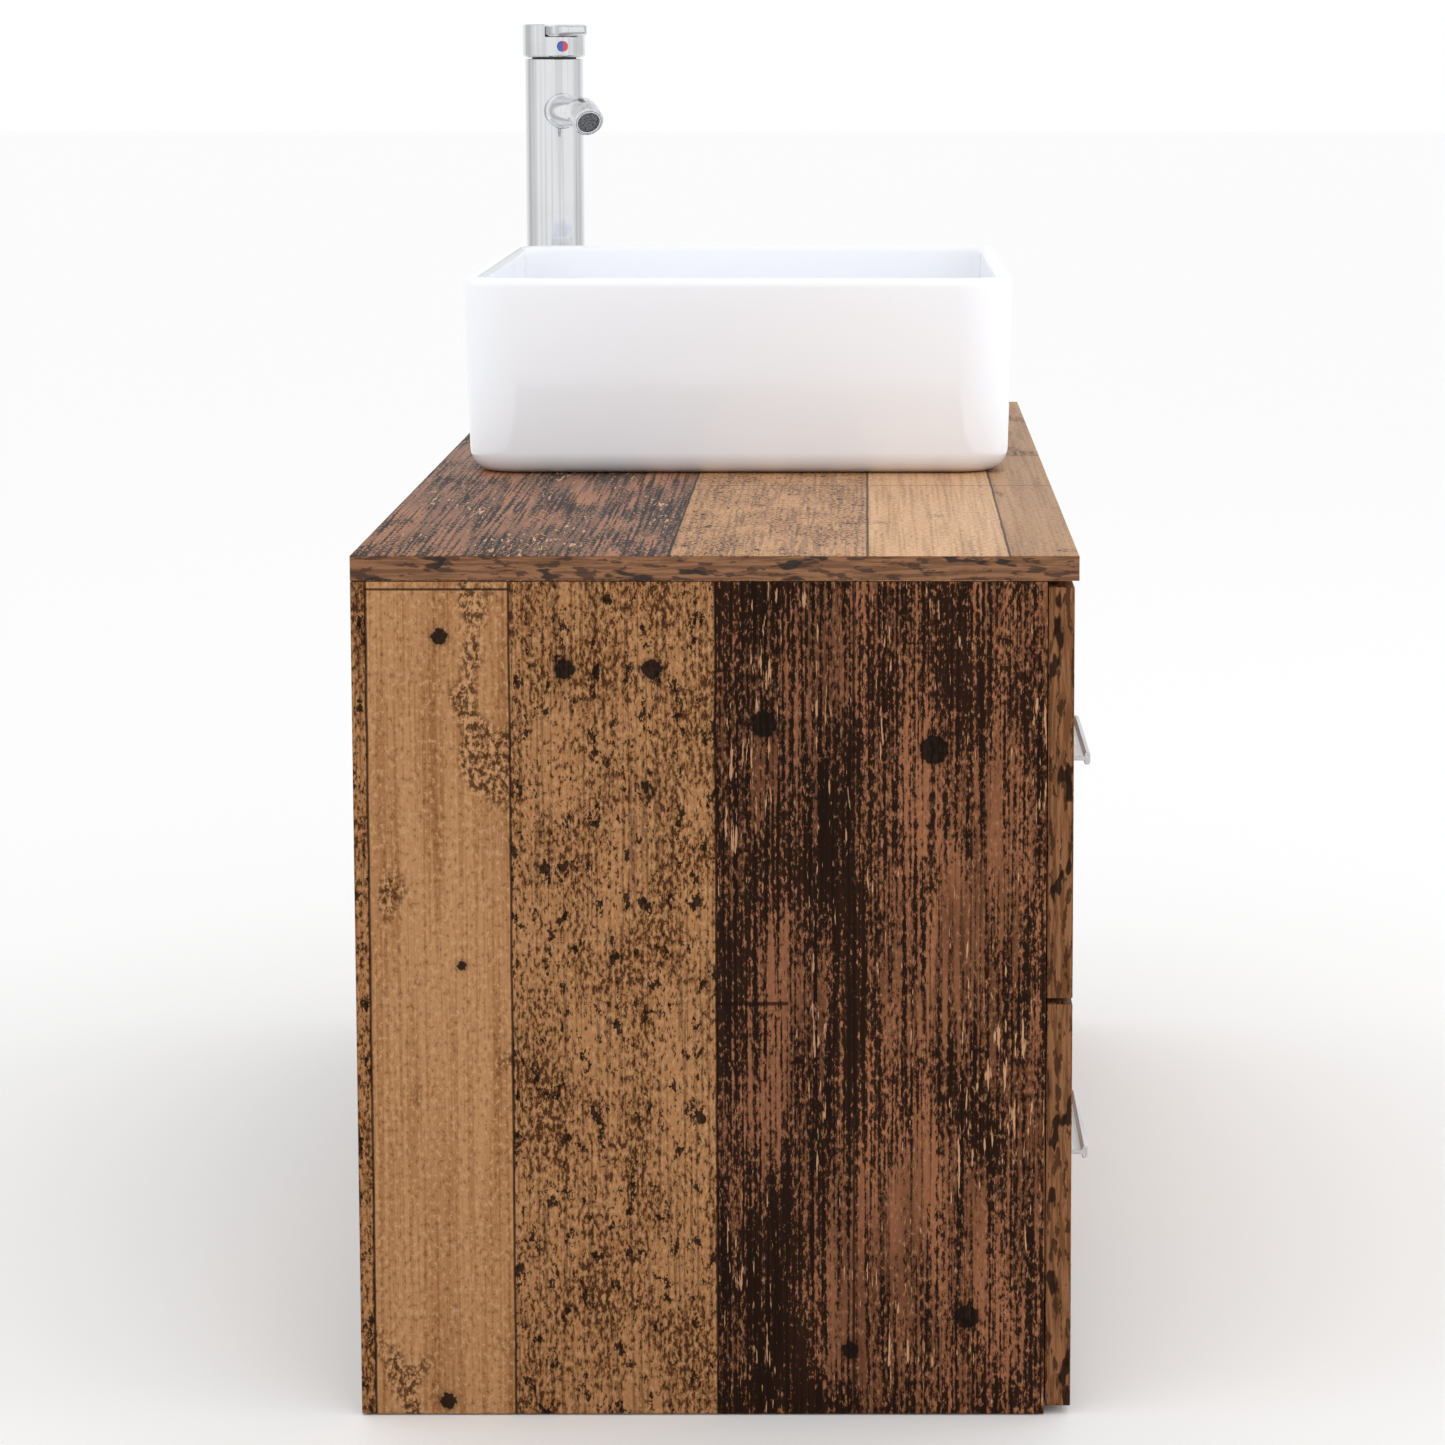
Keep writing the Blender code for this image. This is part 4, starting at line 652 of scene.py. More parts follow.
def grid_mesh(name, grid, ring=True, loop=False, sharp=SHARP):
    """Quads over a grid of points. ring joins the last column to the first, loop the last row."""
    rows, columns = grid.shape[:2]
    row, column = np.meshgrid(
        np.arange(rows if loop else rows - 1), np.arange(columns if ring else columns - 1), indexing="ij"
    )
    next_row = (row + 1) % rows
    next_column = (column + 1) % columns
    quads = np.stack(
        (
            row * columns + column,
            row * columns + next_column,
            next_row * columns + next_column,
            next_row * columns + column,
        ),
        axis=-1,
    ).reshape(-1, 4)
    mesh = bpy.data.meshes.new(name)
    mesh.from_pydata(grid.reshape(-1, 3).tolist(), [], quads.tolist())
    return finish_mesh(mesh, sharp=sharp)


def rounded_profile(corners, steps=6):
    """A line through (x, y, radius) corners, each with a radius turned into an arc of that many steps."""
    points = np.array([corner[:2] for corner in corners], float)
    made = [points[:1]]
    for index in range(1, len(corners) - 1):
        corner, radius = points[index], corners[index][2]
        before, after = points[index - 1] - corner, points[index + 1] - corner
        if radius <= 0:
            made.append(corner[None])
            continue
        before, after = before / np.linalg.norm(before), after / np.linalg.norm(after)
        half = math.acos(float(np.clip(before @ after, -1, 1))) / 2
        reach = radius / math.tan(half)
        middle = corner + (before + after) / np.linalg.norm(before + after) * radius / math.sin(half)
        start, end = corner + before * reach - middle, corner + after * reach - middle
        sweep = math.pi - 2 * half
        turn = np.sign(start[0] * end[1] - start[1] * end[0])
        angle = turn * sweep * np.linspace(0, 1, steps + 1)
        arc = np.stack(
            (
                start[0] * np.cos(angle) - start[1] * np.sin(angle),
                start[0] * np.sin(angle) + start[1] * np.cos(angle),
            ),
            axis=-1,
        )
        made.append(middle + arc)
    made.append(points[-1:])
    return np.concatenate(made)


def turned_grid(profile, steps=128):
    """Each (radius, height) of the profile carried round the Z axis: x = r cos t, y = r sin t, z = h."""
    angle = np.linspace(0, 2 * np.pi, steps, endpoint=False)
    radius, height = profile[:, 0, None], profile[:, 1, None]
    return np.stack(
        (radius * np.cos(angle), radius * np.sin(angle), height + 0 * angle), axis=-1
    )


def turned_piece(name, corners, place, finish, body, *nodes, slot=None, steps=128):
    """A turned piece: rounded profile, round its own axis, moved to its place."""
    grid = turned_grid(rounded_profile(corners), steps)
    mesh = grid_mesh(name, grid)
    mesh.transform(place)
    return add_piece(name, mesh, finish, body, *nodes, slot=slot)


def rounded_rings(half_x, half_y, corner, height, steps=16):
    """One ring per row: corner centres plus corner times (cos t, sin t), a quarter turn at each."""
    angle = np.concatenate(
        [np.linspace(quarter, quarter + np.pi / 2, steps + 1) for quarter in np.arange(4) * np.pi / 2]
    )
    side_x = np.repeat((1, -1, -1, 1), steps + 1)
    side_y = np.repeat((1, 1, -1, -1), steps + 1)
    half_x, half_y, corner, height = (
        np.asarray(values, float)[:, None] for values in (half_x, half_y, corner, height)
    )
    x = side_x * (half_x - corner) + corner * np.cos(angle)
    y = side_y * (half_y - corner) + corner * np.sin(angle)
    return np.stack((x, y, height + 0 * x), axis=-1)


def carried_mesh(node):
    """A copy of a CAD mesh, welded and dissolved to flat faces, for a bevel to round its arrises."""
    mesh = frame["nodes"][node].data.copy()
    shape = bmesh.new()
    shape.from_mesh(mesh)
    bmesh.ops.remove_doubles(shape, verts=shape.verts, dist=CAD_WELD)
    bmesh.ops.dissolve_limit(
        shape, angle_limit=math.radians(1), verts=shape.verts, edges=shape.edges
    )
    shape.to_mesh(mesh)
    shape.free()
    return mesh


def carried_piece(node, finish, round_edges):
    """The CAD node's own shape with its edges rounded."""
    mesh = carried_mesh(node)
    piece = add_piece(f"{node}_fine", mesh, finish, body_holding(node), node, slot=slot_of(node))
    mesh.shade_smooth()
    bevel = piece.modifiers.new("arris", "BEVEL")
    bevel.width = round_edges
    bevel.segments = 2
    bevel.limit_method = "ANGLE"
    bevel.angle_limit = math.radians(40)
    bevel.harden_normals = True
    return piece


def smooth_carry(node, finish, edge=0.0004, angle=30):
    """The CAD node's own shape with round faces shaded smooth and its sharp edges eased."""
    piece = carried_piece(node, finish, edge)
    piece.modifiers["arris"].angle_limit = math.radians(angle)
    piece.modifiers["arris"].harden_normals = False
    piece.data.set_sharp_from_angle(angle=math.radians(angle))
    return piece


def settings():
    return bpy.context.scene.vanity


def middle_of(node):
    low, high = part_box(node)
    return (low + high) / 2


# ---------------------------------------------------------------- operators
# Height of the bottom panel's middle plane, and the counter's extra gloss.
BOTTOM_MIDDLE = 0.0075
COUNTER_SHEEN = 0.30


class DressBoards(bpy.types.Operator):
    """Cabinet boards, fronts and doors in reclaimed-plank decor, and the drawers' plain boards"""

    bl_idname = "vanity.dress_boards"
    bl_label = "Boards"

    def execute(self, context):
        boards = settings().boards
        counter_middle = (TOP[0].z + TOP[1].z) / 2
        counter = wood_finish(
            "planks_counter", boards, 2, TOP_PLANKS, 3.0, WALL_Y,
            seams=TOP_SEAMS, thick=counter_middle, sheen=COUNTER_SHEEN,
        )
        carried_piece("top_board", counter, boards.edge_round)
        low = wood_finish("planks_bottom", boards, 2, TOP_PLANKS, 23.0, WALL_Y, thick=BOTTOM_MIDDLE)
        carried_piece("bottom_panel", low, boards.edge_round)
        for seed, node in enumerate(BOARDS_SIDE):
            side = wood_finish(
                f"planks_{node}", boards, 0, SIDE_PLANKS, 5.0 + 31.0 * seed, WALL_Y,
                seams=SIDE_SEAMS, nails=SIDE_NAILS, thick=middle_of(node).x,
            )
            carried_piece(node, side, boards.edge_round)
        front_middle = middle_of("upper_drawer_front").y
        fronts = wood_finish(
            "planks_fronts", boards, 1, FRONT_PLANKS, 9.0, COUNTER_Z,
            seams=FRONT_SEAMS, nails=FRONT_NAILS, thick=front_middle,
        )
        for node in FRONTS:
            carried_piece(node, fronts, boards.edge_round)
        rails = wood_finish(
            "planks_rails", boards, 1, FRONT_PLANKS, 77.0, COUNTER_Z, thick=middle_of("hanging_rail").y
        )
        for node in BOARDS_BACK:
            carried_piece(node, rails, boards.edge_round)
        plain = drawer_board_finish(boards)
        for node in DRAWER_BOARDS:
            carried_piece(node, plain, boards.edge_round * 0.6)
        return {"FINISHED"}


class DressHandles(bpy.types.Operator):
    """Satin aluminium pulls, each a foot, a shelf and a lip drawn out in one section"""

    bl_idname = "vanity.dress_handles"
    bl_label = "Pulls"
    base = 0.0020
    end_round = 0.00035

    def execute(self, context):
        fittings = settings().fittings
        lying = aluminium_finish("satin_aluminium_lying", fittings, 0)
        upright = aluminium_finish("satin_aluminium_upright", fittings, 2)
        for node in HANDLES:
            low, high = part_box(node)
            foot = min(high.x - low.x, high.z - low.z) / 2
            reach = high.y - low.y
            outline = self.section(fittings, foot, reach)
            stands = high.z - low.z > high.x - low.x
            span = high.z - low.z if stands else high.x - low.x
            stations = np.array((-0.5, 0.5)) * span
            depth, height = outline[None, :, 0], outline[None, :, 1]
            along = stations[:, None] + 0 * depth
            away = high.y - depth + 0 * along
            middle = middle_of(node)
            if stands:
                grid = np.stack((middle.x + height + 0 * along, away, middle.z + along), axis=-1)
            else:
                grid = np.stack((middle.x + along, away, middle.z + height + 0 * along), axis=-1)
            mesh = self.capped(node, grid)
            finish = upright if stands else lying
            piece = add_piece(f"{node}_fine", mesh, finish, body_holding(node), node, slot=slot_of(node))
            bevel = piece.modifiers.new("ends", "BEVEL")
            bevel.width = self.end_round
            bevel.segments = 2
            bevel.limit_method = "ANGLE"
            bevel.angle_limit = math.radians(60)
        return {"FINISHED"}

    def section(self, fittings, foot, reach):
        """The section's outline, as (distance from the front, height), with every corner rounded."""
        lip, shelf = fittings.lip / 2, fittings.shelf / 2
        inner = reach - fittings.lip_thick
        base = self.base
        upper = [
            (0.0, 0.0, 0), (0.0, foot, 0.0004), (base, foot, 0.0007), (base, shelf, 0.0012),
            (inner, shelf, 0.0008), (inner, lip, 0.0012), (reach, lip, 0.0017), (reach, 0.0, 0),
        ]
        half = rounded_profile(upper, 5)
        lower = half[::-1] * (1, -1)
        return np.concatenate((half, lower[1:-1]))

    def capped(self, name, grid):
        mesh = bpy.data.meshes.new(name)
        count = grid.shape[1]
        row = np.arange(count)
        sides = np.stack((row, (row + 1) % count, (row + 1) % count + count, row + count), axis=-1)
        faces = sides.tolist() + [row[::-1].tolist(), (row + count).tolist()]
        mesh.from_pydata(grid.reshape(-1, 3).tolist(), [], faces)
        return finish_mesh(mesh, sharp=math.radians(50))


class DressBasin(bpy.types.Operator):
    """The glazed basin, as rings of a rounded rectangle carried along the wall's section"""

    bl_idname = "vanity.dress_basin"
    bl_label = "Basin"
    drain_hole = 0.0225
    seat_clearance = 0.0003
    seat_depth = 0.0012
    least_corner = 0.012

    def execute(self, context):
        basin = settings().basin
        half_x = (BASIN[1].x - BASIN[0].x) / 2
        half_y = (BASIN[1].y - BASIN[0].y) / 2
        height = BASIN[1].z - BASIN[0].z
        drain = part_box("waste_body")
        seat = (drain[1].x - drain[0].x) / 2 + self.seat_clearance
        hole = self.drain_hole
        inset, level, corner = self.section(basin, height)
        rows_x = np.concatenate(((hole,), half_x - inset, (seat, seat, hole)))
        rows_y = np.concatenate(((hole,), half_y - inset, (seat, seat, hole)))
        corners = np.concatenate(((hole,), corner, (seat, seat, hole)))
        levels = np.concatenate(((0.0,), level, (basin.floor + self.seat_depth, basin.floor, basin.floor)))
        grid = self.split_long_rows(rounded_rings(rows_x, rows_y, corners, levels))
        mesh = grid_mesh("basin_fine", grid + (BASIN_X, BASIN_Y, BASIN[0].z), loop=True)
        add_piece("basin_fine", mesh, glaze_finish(basin), "cabinet", "basin", slot="glazed_ceramic")
        return {"FINISHED"}

    def section(self, basin, height):
        """Inset from the outer face, height and corner radius, from the foot up, over the rim and down."""
        quarter = np.linspace(0, np.pi / 2, 13)
        rim = basin.wall / 2
        over = np.linspace(0, np.pi, 25)
        wall = np.linspace(0, 1, 9)[1:-1]
        floor_edge = basin.floor + basin.fall
        foot_inset = basin.draft + basin.foot * (1 - np.sin(quarter))
        foot_level = basin.foot * (1 - np.cos(quarter))
        rise = foot_level[-1] + wall * (height - rim - foot_level[-1])
        bowl_inset = basin.wall + basin.draft + basin.bowl * (1 - np.cos(quarter))
        bowl_level = floor_edge + basin.bowl * (1 - np.sin(quarter))
        drop = height - rim + wall * (bowl_level[0] - height + rim)
        inset = np.concatenate(
            (foot_inset, basin.draft * (1 - wall), rim * (1 - np.cos(over)),
             basin.wall + basin.draft * wall, bowl_inset)
        )
        level = np.concatenate((foot_level, rise, height - rim + rim * np.sin(over), drop, bowl_level))
        corner = np.maximum(basin.corner - inset, self.least_corner)
        return inset, level, corner

    def split_long_rows(self, grid):
        """Adds rings between the bowl's floor edge and the drain's seat, on straight lines between them."""
        last = grid[-4]
        seat = grid[-3]
        share = np.linspace(0, 1, 12)[1:-1, None, None]
        between = last[None] * (1 - share) + seat[None] * share
        return np.concatenate((grid[:-3], between, grid[-3:]))


class DressWaste(bpy.types.Operator):
    """The drain's chrome flange, with a thread on its tail, and its domed plug"""

    bl_idname = "vanity.dress_waste"
    bl_label = "Drain"
    bore = 0.0175
    tail = 0.0200
    flange_thick = 0.0030
    thread_below_flange = 0.036
    thread_pitch = 0.0016
    thread_depth = 0.0003
    plug_thick = 0.0050
    plug_stem = 0.0035
    plug_crown = 0.55

    def execute(self, context):
        chrome = chrome_finish(settings().tap, "chrome_drain")
        low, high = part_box("waste_body")
        top = high.z
        outer, bore, tail = (high.x - low.x) / 2, self.bore, self.tail
        flange = top - self.flange_thick
        body = [
            (bore, low.z, 0), (bore, top, 0.0012), (outer, top, 0.0022), (outer, flange, 0.0003),
            (tail, flange, 0.0006), (tail, low.z, 0.0005), (bore, low.z, 0),
        ]
        place = Matrix.Translation((BASIN_X, BASIN_Y, 0))
        flanged = turned_piece("drain_flange_fine", body, place, chrome, "cabinet", slot="polished_chrome")
        self.cut_thread(flanged.data, tail, low.z, flange - self.thread_below_flange)
        finish_mesh(flanged.data)
        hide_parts("waste_body")
        plug_low, plug_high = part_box("drain_plug")
        radius = (plug_high.x - plug_low.x) / 2
        thick, stem = self.plug_thick, self.plug_stem
        under = plug_high.z - thick
        across = np.linspace(0, 1, 22)
        crown = np.stack((radius * across, under + thick * (1 - self.plug_crown * across**2.6)), axis=-1)
        rim = rounded_profile(
            [(radius, under + thick * (1 - self.plug_crown), 0), (radius, under, 0.0006),
             (stem, under, 0.0005), (stem, plug_low.z, 0.0004), (0.0, plug_low.z, 0)]
        )
        grid = turned_grid(np.concatenate((crown, rim)), 128)
        mesh = grid_mesh("drain_plug_fine", grid)
        mesh.transform(place)
        add_piece("drain_plug_fine", mesh, chrome, "drain_plug", "drain_plug", slot="polished_chrome")
        return {"FINISHED"}

    def cut_thread(self, mesh, tail, low, high):
        """Waves the tail's outer face: r = tail - depth (1 + sin(2 pi z / pitch + t)) / 2."""
        flat = np.empty(len(mesh.vertices) * 3)
        mesh.vertices.foreach_get("co", flat)
        points = flat.reshape(-1, 3)
        away = points[:, :2] - (BASIN_X, BASIN_Y)
        radius = np.linalg.norm(away, axis=1)
        angle = np.arctan2(away[:, 1], away[:, 0])
        on_tail = (abs(radius - tail) < 0.0004) & (points[:, 2] < high) & (points[:, 2] > low + 0.001)
        turns = 2 * np.pi * points[:, 2] / self.thread_pitch + angle
        wave = -self.thread_depth * (0.5 + 0.5 * np.sin(turns))
        scale = np.where(on_tail, 1 + wave / np.maximum(radius, 0.001), 1.0)
        points[:, :2] = (BASIN_X, BASIN_Y) + away * scale[:, None]
        mesh.vertices.foreach_set("co", points.reshape(-1))


class DressTrap(bpy.types.Operator):
    """The bottle trap's plastic parts, with ribbed collars, and its chrome wall rosette"""

    bl_idname = "vanity.dress_trap"
    bl_label = "Trap"

    def execute(self, context):
        fittings = settings().fittings
        plastic = moulded_finish(
            "white_moulded_plastic", fittings.plastic, from_bytes(222, 221, 214), 0.28, 0.42, 700.0
        )
        for node in ("trap_inlet_pipe", "trap_body", "trap_cup", "trap_outlet_pipe", "waste_locknut"):
            smooth_carry(node, plastic)
        smooth_carry("trap_rosette", chrome_finish(settings().tap, "chrome_rosette"))
        seal = moulded_finish("black_seal", from_bytes(30, 30, 31), from_bytes(46, 45, 44), 0.60, 0.80, 900.0)
        smooth_carry("waste_gasket", seal)
        return {"FINISHED"}


class DressTap(bpy.types.Operator):
    """The chrome tap: tube, spout with its collar and aerator, slotted head, lever and marker"""

    bl_idname = "vanity.dress_tap"
    bl_label = "Tap"
    tube_wall = 0.0030
    tube_floor = 0.006
    shank_hole = 0.0155
    spout_start = 0.016
    spout_below_top = 0.0140
    spout_radius = 0.0120
    mouth_ease = 0.0016
    mouth_rounding = 0.0012
    mouth_radius = 0.0101
    mouth_depth = 0.0085
    collar_start = 0.0172
    collar_bore = 0.0110
    collar_radius = 0.0139
    screen_radius = 0.0088
    ring_bore = 0.0086
    ring_radius = 0.0098
    ring_proud = 0.0004
    head_wall = 0.0030
    head_ceiling = 0.011
    slot_clearance = 0.0003
    slot_back = -0.0095
    marker_seat = (0.0045, 0.0030)
    lever_tip = 0.0090
    lever_thinning = 0.0012
    lever_squareness = 0.30

    def execute(self, context):
        tap = settings().tap
        chrome = chrome_finish(tap)
        self.make_tube(tap, chrome)
        self.make_spout(tap, chrome)
        self.make_head(tap, chrome)
        self.make_lever(tap, chrome)
        centre = middle_of("tap_marker")
        smooth_carry("tap_marker", marker_finish(tap, centre), 0.0003)
        grey = moulded_finish(
            "grey_moulded_plastic", from_bytes(92, 95, 99), from_bytes(76, 78, 82), 0.40, 0.55, 800.0
        )
        smooth_carry("tap_cartridge", grey)
        smooth_carry("tap_shank", chrome)
        return {"FINISHED"}

    def at_tap(self):
        """The tap's own axes: out along its spout, across, and up."""
        return Matrix.Translation((TAP_X, TAP_Y, 0.0)) @ Matrix.Rotation(math.pi + TAP_TURN, 4, "Z")

    def make_tube(self, tap, chrome):
        low, high = BODY[0].z, BODY[1].z
        outer = (BODY[1].x - BODY[0].x) / 2
        inner, shank, floor = outer - self.tube_wall, self.shank_hole, low + self.tube_floor
        section = [
            (shank, low, 0), (outer, low, 0.0006), (outer, high, tap.edge), (inner, high, 0.0004),
            (inner, floor, 0.0006), (shank, floor, 0.0004), (shank, low, 0),
        ]
        turned_piece(
            "tap_tube_fine", section, Matrix.Translation((TAP_X, TAP_Y, 0)), chrome, "cabinet",
            "tap_body", slot="polished_chrome", steps=160,
        )

    def make_spout(self, tap, chrome):
        """A round bar carried along the spout's bent line, from the tube to the aerator's seat."""
        root_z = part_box("tap_spout")[1].z - self.spout_below_top
        line = self.spout_line(tap, root_z)
        steps = np.diff(line, axis=0)
        ahead = np.concatenate((steps[:1], (steps[1:] + steps[:-1]) / 2, steps[-1:]))
        ahead /= np.linalg.norm(ahead, axis=1)[:, None]
        up = np.stack((-ahead[:, 1], ahead[:, 0]), axis=-1)
        angle = np.linspace(0, 2 * np.pi, 96, endpoint=False)
        travelled = np.concatenate(((0,), np.cumsum(np.linalg.norm(steps, axis=1))))
        ease = np.clip((travelled - (travelled[-1] - self.mouth_ease)) / self.mouth_ease, 0, 1)
        radius = self.spout_radius - self.mouth_rounding * (1 - np.sqrt(1 - ease**2))
        x = line[:, 0, None] + radius[:, None] * np.cos(angle) * up[:, 0, None]
        z = line[:, 1, None] + radius[:, None] * np.cos(angle) * up[:, 1, None]
        y = radius[:, None] * np.sin(angle) + 0 * x
        outside = np.stack((x, y, z), axis=-1)
        centre = np.stack((line[-1, 0] + 0 * angle, 0 * angle, line[-1, 1] + 0 * angle), axis=-1)
        mouth = centre + (outside[-1] - centre) * (self.mouth_radius / radius[-1])
        sunk = mouth - self.mouth_depth * np.array((ahead[-1, 0], 0, ahead[-1, 1]))
        grid = np.concatenate((outside, mouth[None], sunk[None]))
        mesh = grid_mesh("tap_spout_fine", grid)
        mesh.transform(self.at_tap())
        add_piece("tap_spout_fine", mesh, chrome, "cabinet", "tap_spout", slot="polished_chrome")
        bore, outer = self.collar_bore, self.collar_radius
        collar = [
            (bore, 0.0, 0), (outer, 0.0, 0.0002), (outer, 0.0068, 0.0008), (bore, 0.0072, 0), (bore, 0.0, 0),
        ]
        lean = Matrix.Translation((self.collar_start, 0, root_z)) @ Matrix.Rotation(math.pi / 2, 4, "Y")
        turned_piece(
            "tap_spout_collar", collar, self.at_tap() @ lean, chrome, "cabinet", slot="polished_chrome"
        )
        self.make_aerator(tap, chrome, line)

    def spout_line(self, tap, root_z):
        """Straight out, then round an arc, then straight to the nose, as (out, up) points."""
        bend, radius, nose = tap.spout_bend, tap.spout_round, tap.spout_nose
        start = tap.spout_reach - nose * math.cos(bend) - radius * math.sin(bend)
        angle = np.linspace(0, bend, 20)
        arc = np.stack((start + radius * np.sin(angle), root_z - radius * (1 - np.cos(angle))), axis=-1)
        out = np.stack((np.linspace(self.spout_start, start, 8)[:-1], np.full(7, root_z)), axis=-1)
        share = np.concatenate((np.linspace(0, 0.75, 5)[1:], np.linspace(0.8, 1.0, 9)))[:, None]
        along = np.array((math.cos(bend), -math.sin(bend))) * nose
        return np.concatenate((out, arc, arc[-1] + along * share))

    def make_aerator(self, tap, chrome, line):
        """The aerator's ring in the spout's mouth, and its screen set back inside."""
        lean = Matrix.Translation((line[-1, 0], 0, line[-1, 1])) @ Matrix.Rotation(
            math.pi / 2 + tap.spout_bend, 4, "Y"
        )
        bore, outer, proud, deep = self.ring_bore, self.ring_radius, self.ring_proud, -self.mouth_depth
        ring = [
            (bore, deep, 0), (outer, deep, 0.0002), (outer, proud, 0.0004), (bore, proud, 0.0004),
            (bore, deep, 0),
        ]
        turned_piece(
            "tap_aerator_ring", ring, self.at_tap() @ lean, chrome, "cabinet", "tap_aerator",
            slot="polished_chrome",
        )
        rim = self.screen_radius
        disc = [(0.0, -0.0008, 0), (rim, -0.0010, 0.0004), (rim, -0.0040, 0.0003), (0.0, -0.0040, 0)]
        turned_piece(
            "tap_aerator_screen", disc, self.at_tap() @ lean, screen_finish(), "cabinet",
            slot="polished_chrome",
        )

    def make_head(self, tap, chrome):
        """The turned cap with a straight slot across its front for the lever."""
        low, high = HEAD[0].z, HEAD[1].z
        outer = (HEAD[1].x - HEAD[0].x) / 2
        inner, ceiling = outer - self.head_wall, low + self.head_ceiling
        section = [
            (0.0, high, 0), (outer, high, 0.0012), (outer, low, 0.0026), (inner, low, 0.0004),
            (inner, ceiling, 0.0005), (0.0, ceiling, 0),
        ]
        head = turned_piece(
            "tap_head_fine", section, Matrix.Translation((TAP_X, TAP_Y, 0)), chrome, "tap_head",
            "tap_head", slot="polished_chrome", steps=192,
        )
        lever_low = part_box("tap_lever")[0]
        slot_low, slot_high = lever_low.z - self.slot_clearance, high + 0.004
        back, front = self.slot_back, outer + 0.01
        size = (front - back, tap.lever_width + 2 * self.slot_clearance, slot_high - slot_low)
        slot = bmesh.new()
        bmesh.ops.create_cube(slot, size=1.0)
        bmesh.ops.scale(slot, vec=size, verts=slot.verts)
        slot_middle = ((front + back) / 2, 0, (slot_high + slot_low) / 2)
        self.carve(head, slot, self.at_tap() @ Matrix.Translation(slot_middle))
        marker = middle_of("tap_marker")
        turn = Matrix.Rotation(math.pi + TAP_TURN, 4, "Z") @ Matrix.Rotation(math.pi / 2, 4, "Y")
        radius, depth = self.marker_seat
        seat = bmesh.new()
        bmesh.ops.create_cone(seat, cap_ends=True, segments=48, radius1=radius, radius2=radius, depth=depth)
        self.carve(head, seat, Matrix.Translation(marker) @ turn)
        finish_mesh(head.data, sharp=math.radians(32))

    def carve(self, piece, shape, place):
        """Takes the closed shape, moved to its place, away from the piece and keeps the result."""
        mesh = bpy.data.meshes.new("cutter")
        shape.to_mesh(mesh)
        shape.free()
        mesh.transform(place)
        cutter = bpy.data.objects.new("cutter", mesh)
        bpy.context.scene.collection.objects.link(cutter)
        boolean = piece.modifiers.new("cut", "BOOLEAN")
        boolean.operation = "DIFFERENCE"
        boolean.solver = "EXACT"
        boolean.object = cutter
        graph = bpy.context.evaluated_depsgraph_get()
        cut = bpy.data.meshes.new_from_object(piece.evaluated_get(graph))
        piece.modifiers.clear()
        old = piece.data
        piece.data = cut
        cut.name = piece.name
        bpy.data.objects.remove(cutter)
        bpy.data.meshes.remove(mesh)
        bpy.data.meshes.remove(old)

    def make_lever(self, tap, chrome):
        """A paddle of sections y = w cos^p t, z = h sin^p t, signs kept, rounded off at heel and tip."""
        low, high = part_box("tap_lever")
        pivot = Vector(JOINTS["tap_lever_lift"]["pos_m"])
        reach, width = tap.lever_reach, tap.lever_width
        thick = high.z - low.z
        top = high.z
        back = -thick / 2
        share = np.linspace(0, 1, 72)
        along = back + (reach - back) * (0.5 - 0.5 * np.cos(np.pi * share))
        tip = np.clip((along - (reach - self.lever_tip)) / self.lever_tip, 0, 1)
        half_width = width / 2 * (1 - 0.46 * (1 - np.sqrt(1 - tip**2)))
        taper = np.clip(along / reach, 0, 1)
        under = top - thick + self.lever_thinning * taper**1.5
        heel = np.clip(-along / (thick / 2), 0, 1)
        lift = thick / 2 * (1 - np.sqrt(np.clip(1 - heel**2, 0, 1)))
        nose = (top - under) * 0.34 * (1 - np.sqrt(np.clip(1 - tip**2, 0, 1)))
        upper = top - lift - nose
        lower = under + lift + nose
        angle = np.linspace(0, 2 * np.pi, 64, endpoint=False)
        side = np.sign(np.cos(angle)) * np.abs(np.cos(angle)) ** self.lever_squareness
        rise = np.sign(np.sin(angle)) * np.abs(np.sin(angle)) ** self.lever_squareness
        middle, half = (upper + lower) / 2, (upper - lower) / 2
        x = along[:, None] + 0 * angle
        y = half_width[:, None] * side
        z = middle[:, None] + np.maximum(half, 0.00002)[:, None] * rise
        grid = np.stack((x, y, z), axis=-1)
        ends = np.repeat(grid[[0, -1]].mean(axis=1, keepdims=True), len(angle), axis=1)
        grid = np.concatenate((ends[:1], grid, ends[1:]))
        mesh = grid_mesh("tap_lever_fine", grid, sharp=math.radians(60))
        turn = Matrix.Rotation(math.pi + TAP_TURN, 4, "Z")
        mesh.transform(Matrix.Translation((pivot.x, pivot.y, 0)) @ turn)
        add_piece("tap_lever_fine", mesh, chrome, "tap_lever", "tap_lever", slot="polished_chrome")


class DressHardware(bpy.types.Operator):
    """Zinc-plated runners, hinges and brackets"""

    bl_idname = "vanity.dress_hardware"
    bl_label = "Hardware"

    def execute(self, context):
        zinc = zinc_finish(settings().fittings)
        for node in STEEL_NODES:
            smooth_carry(node, zinc, 0.0002)
        return {"FINISHED"}


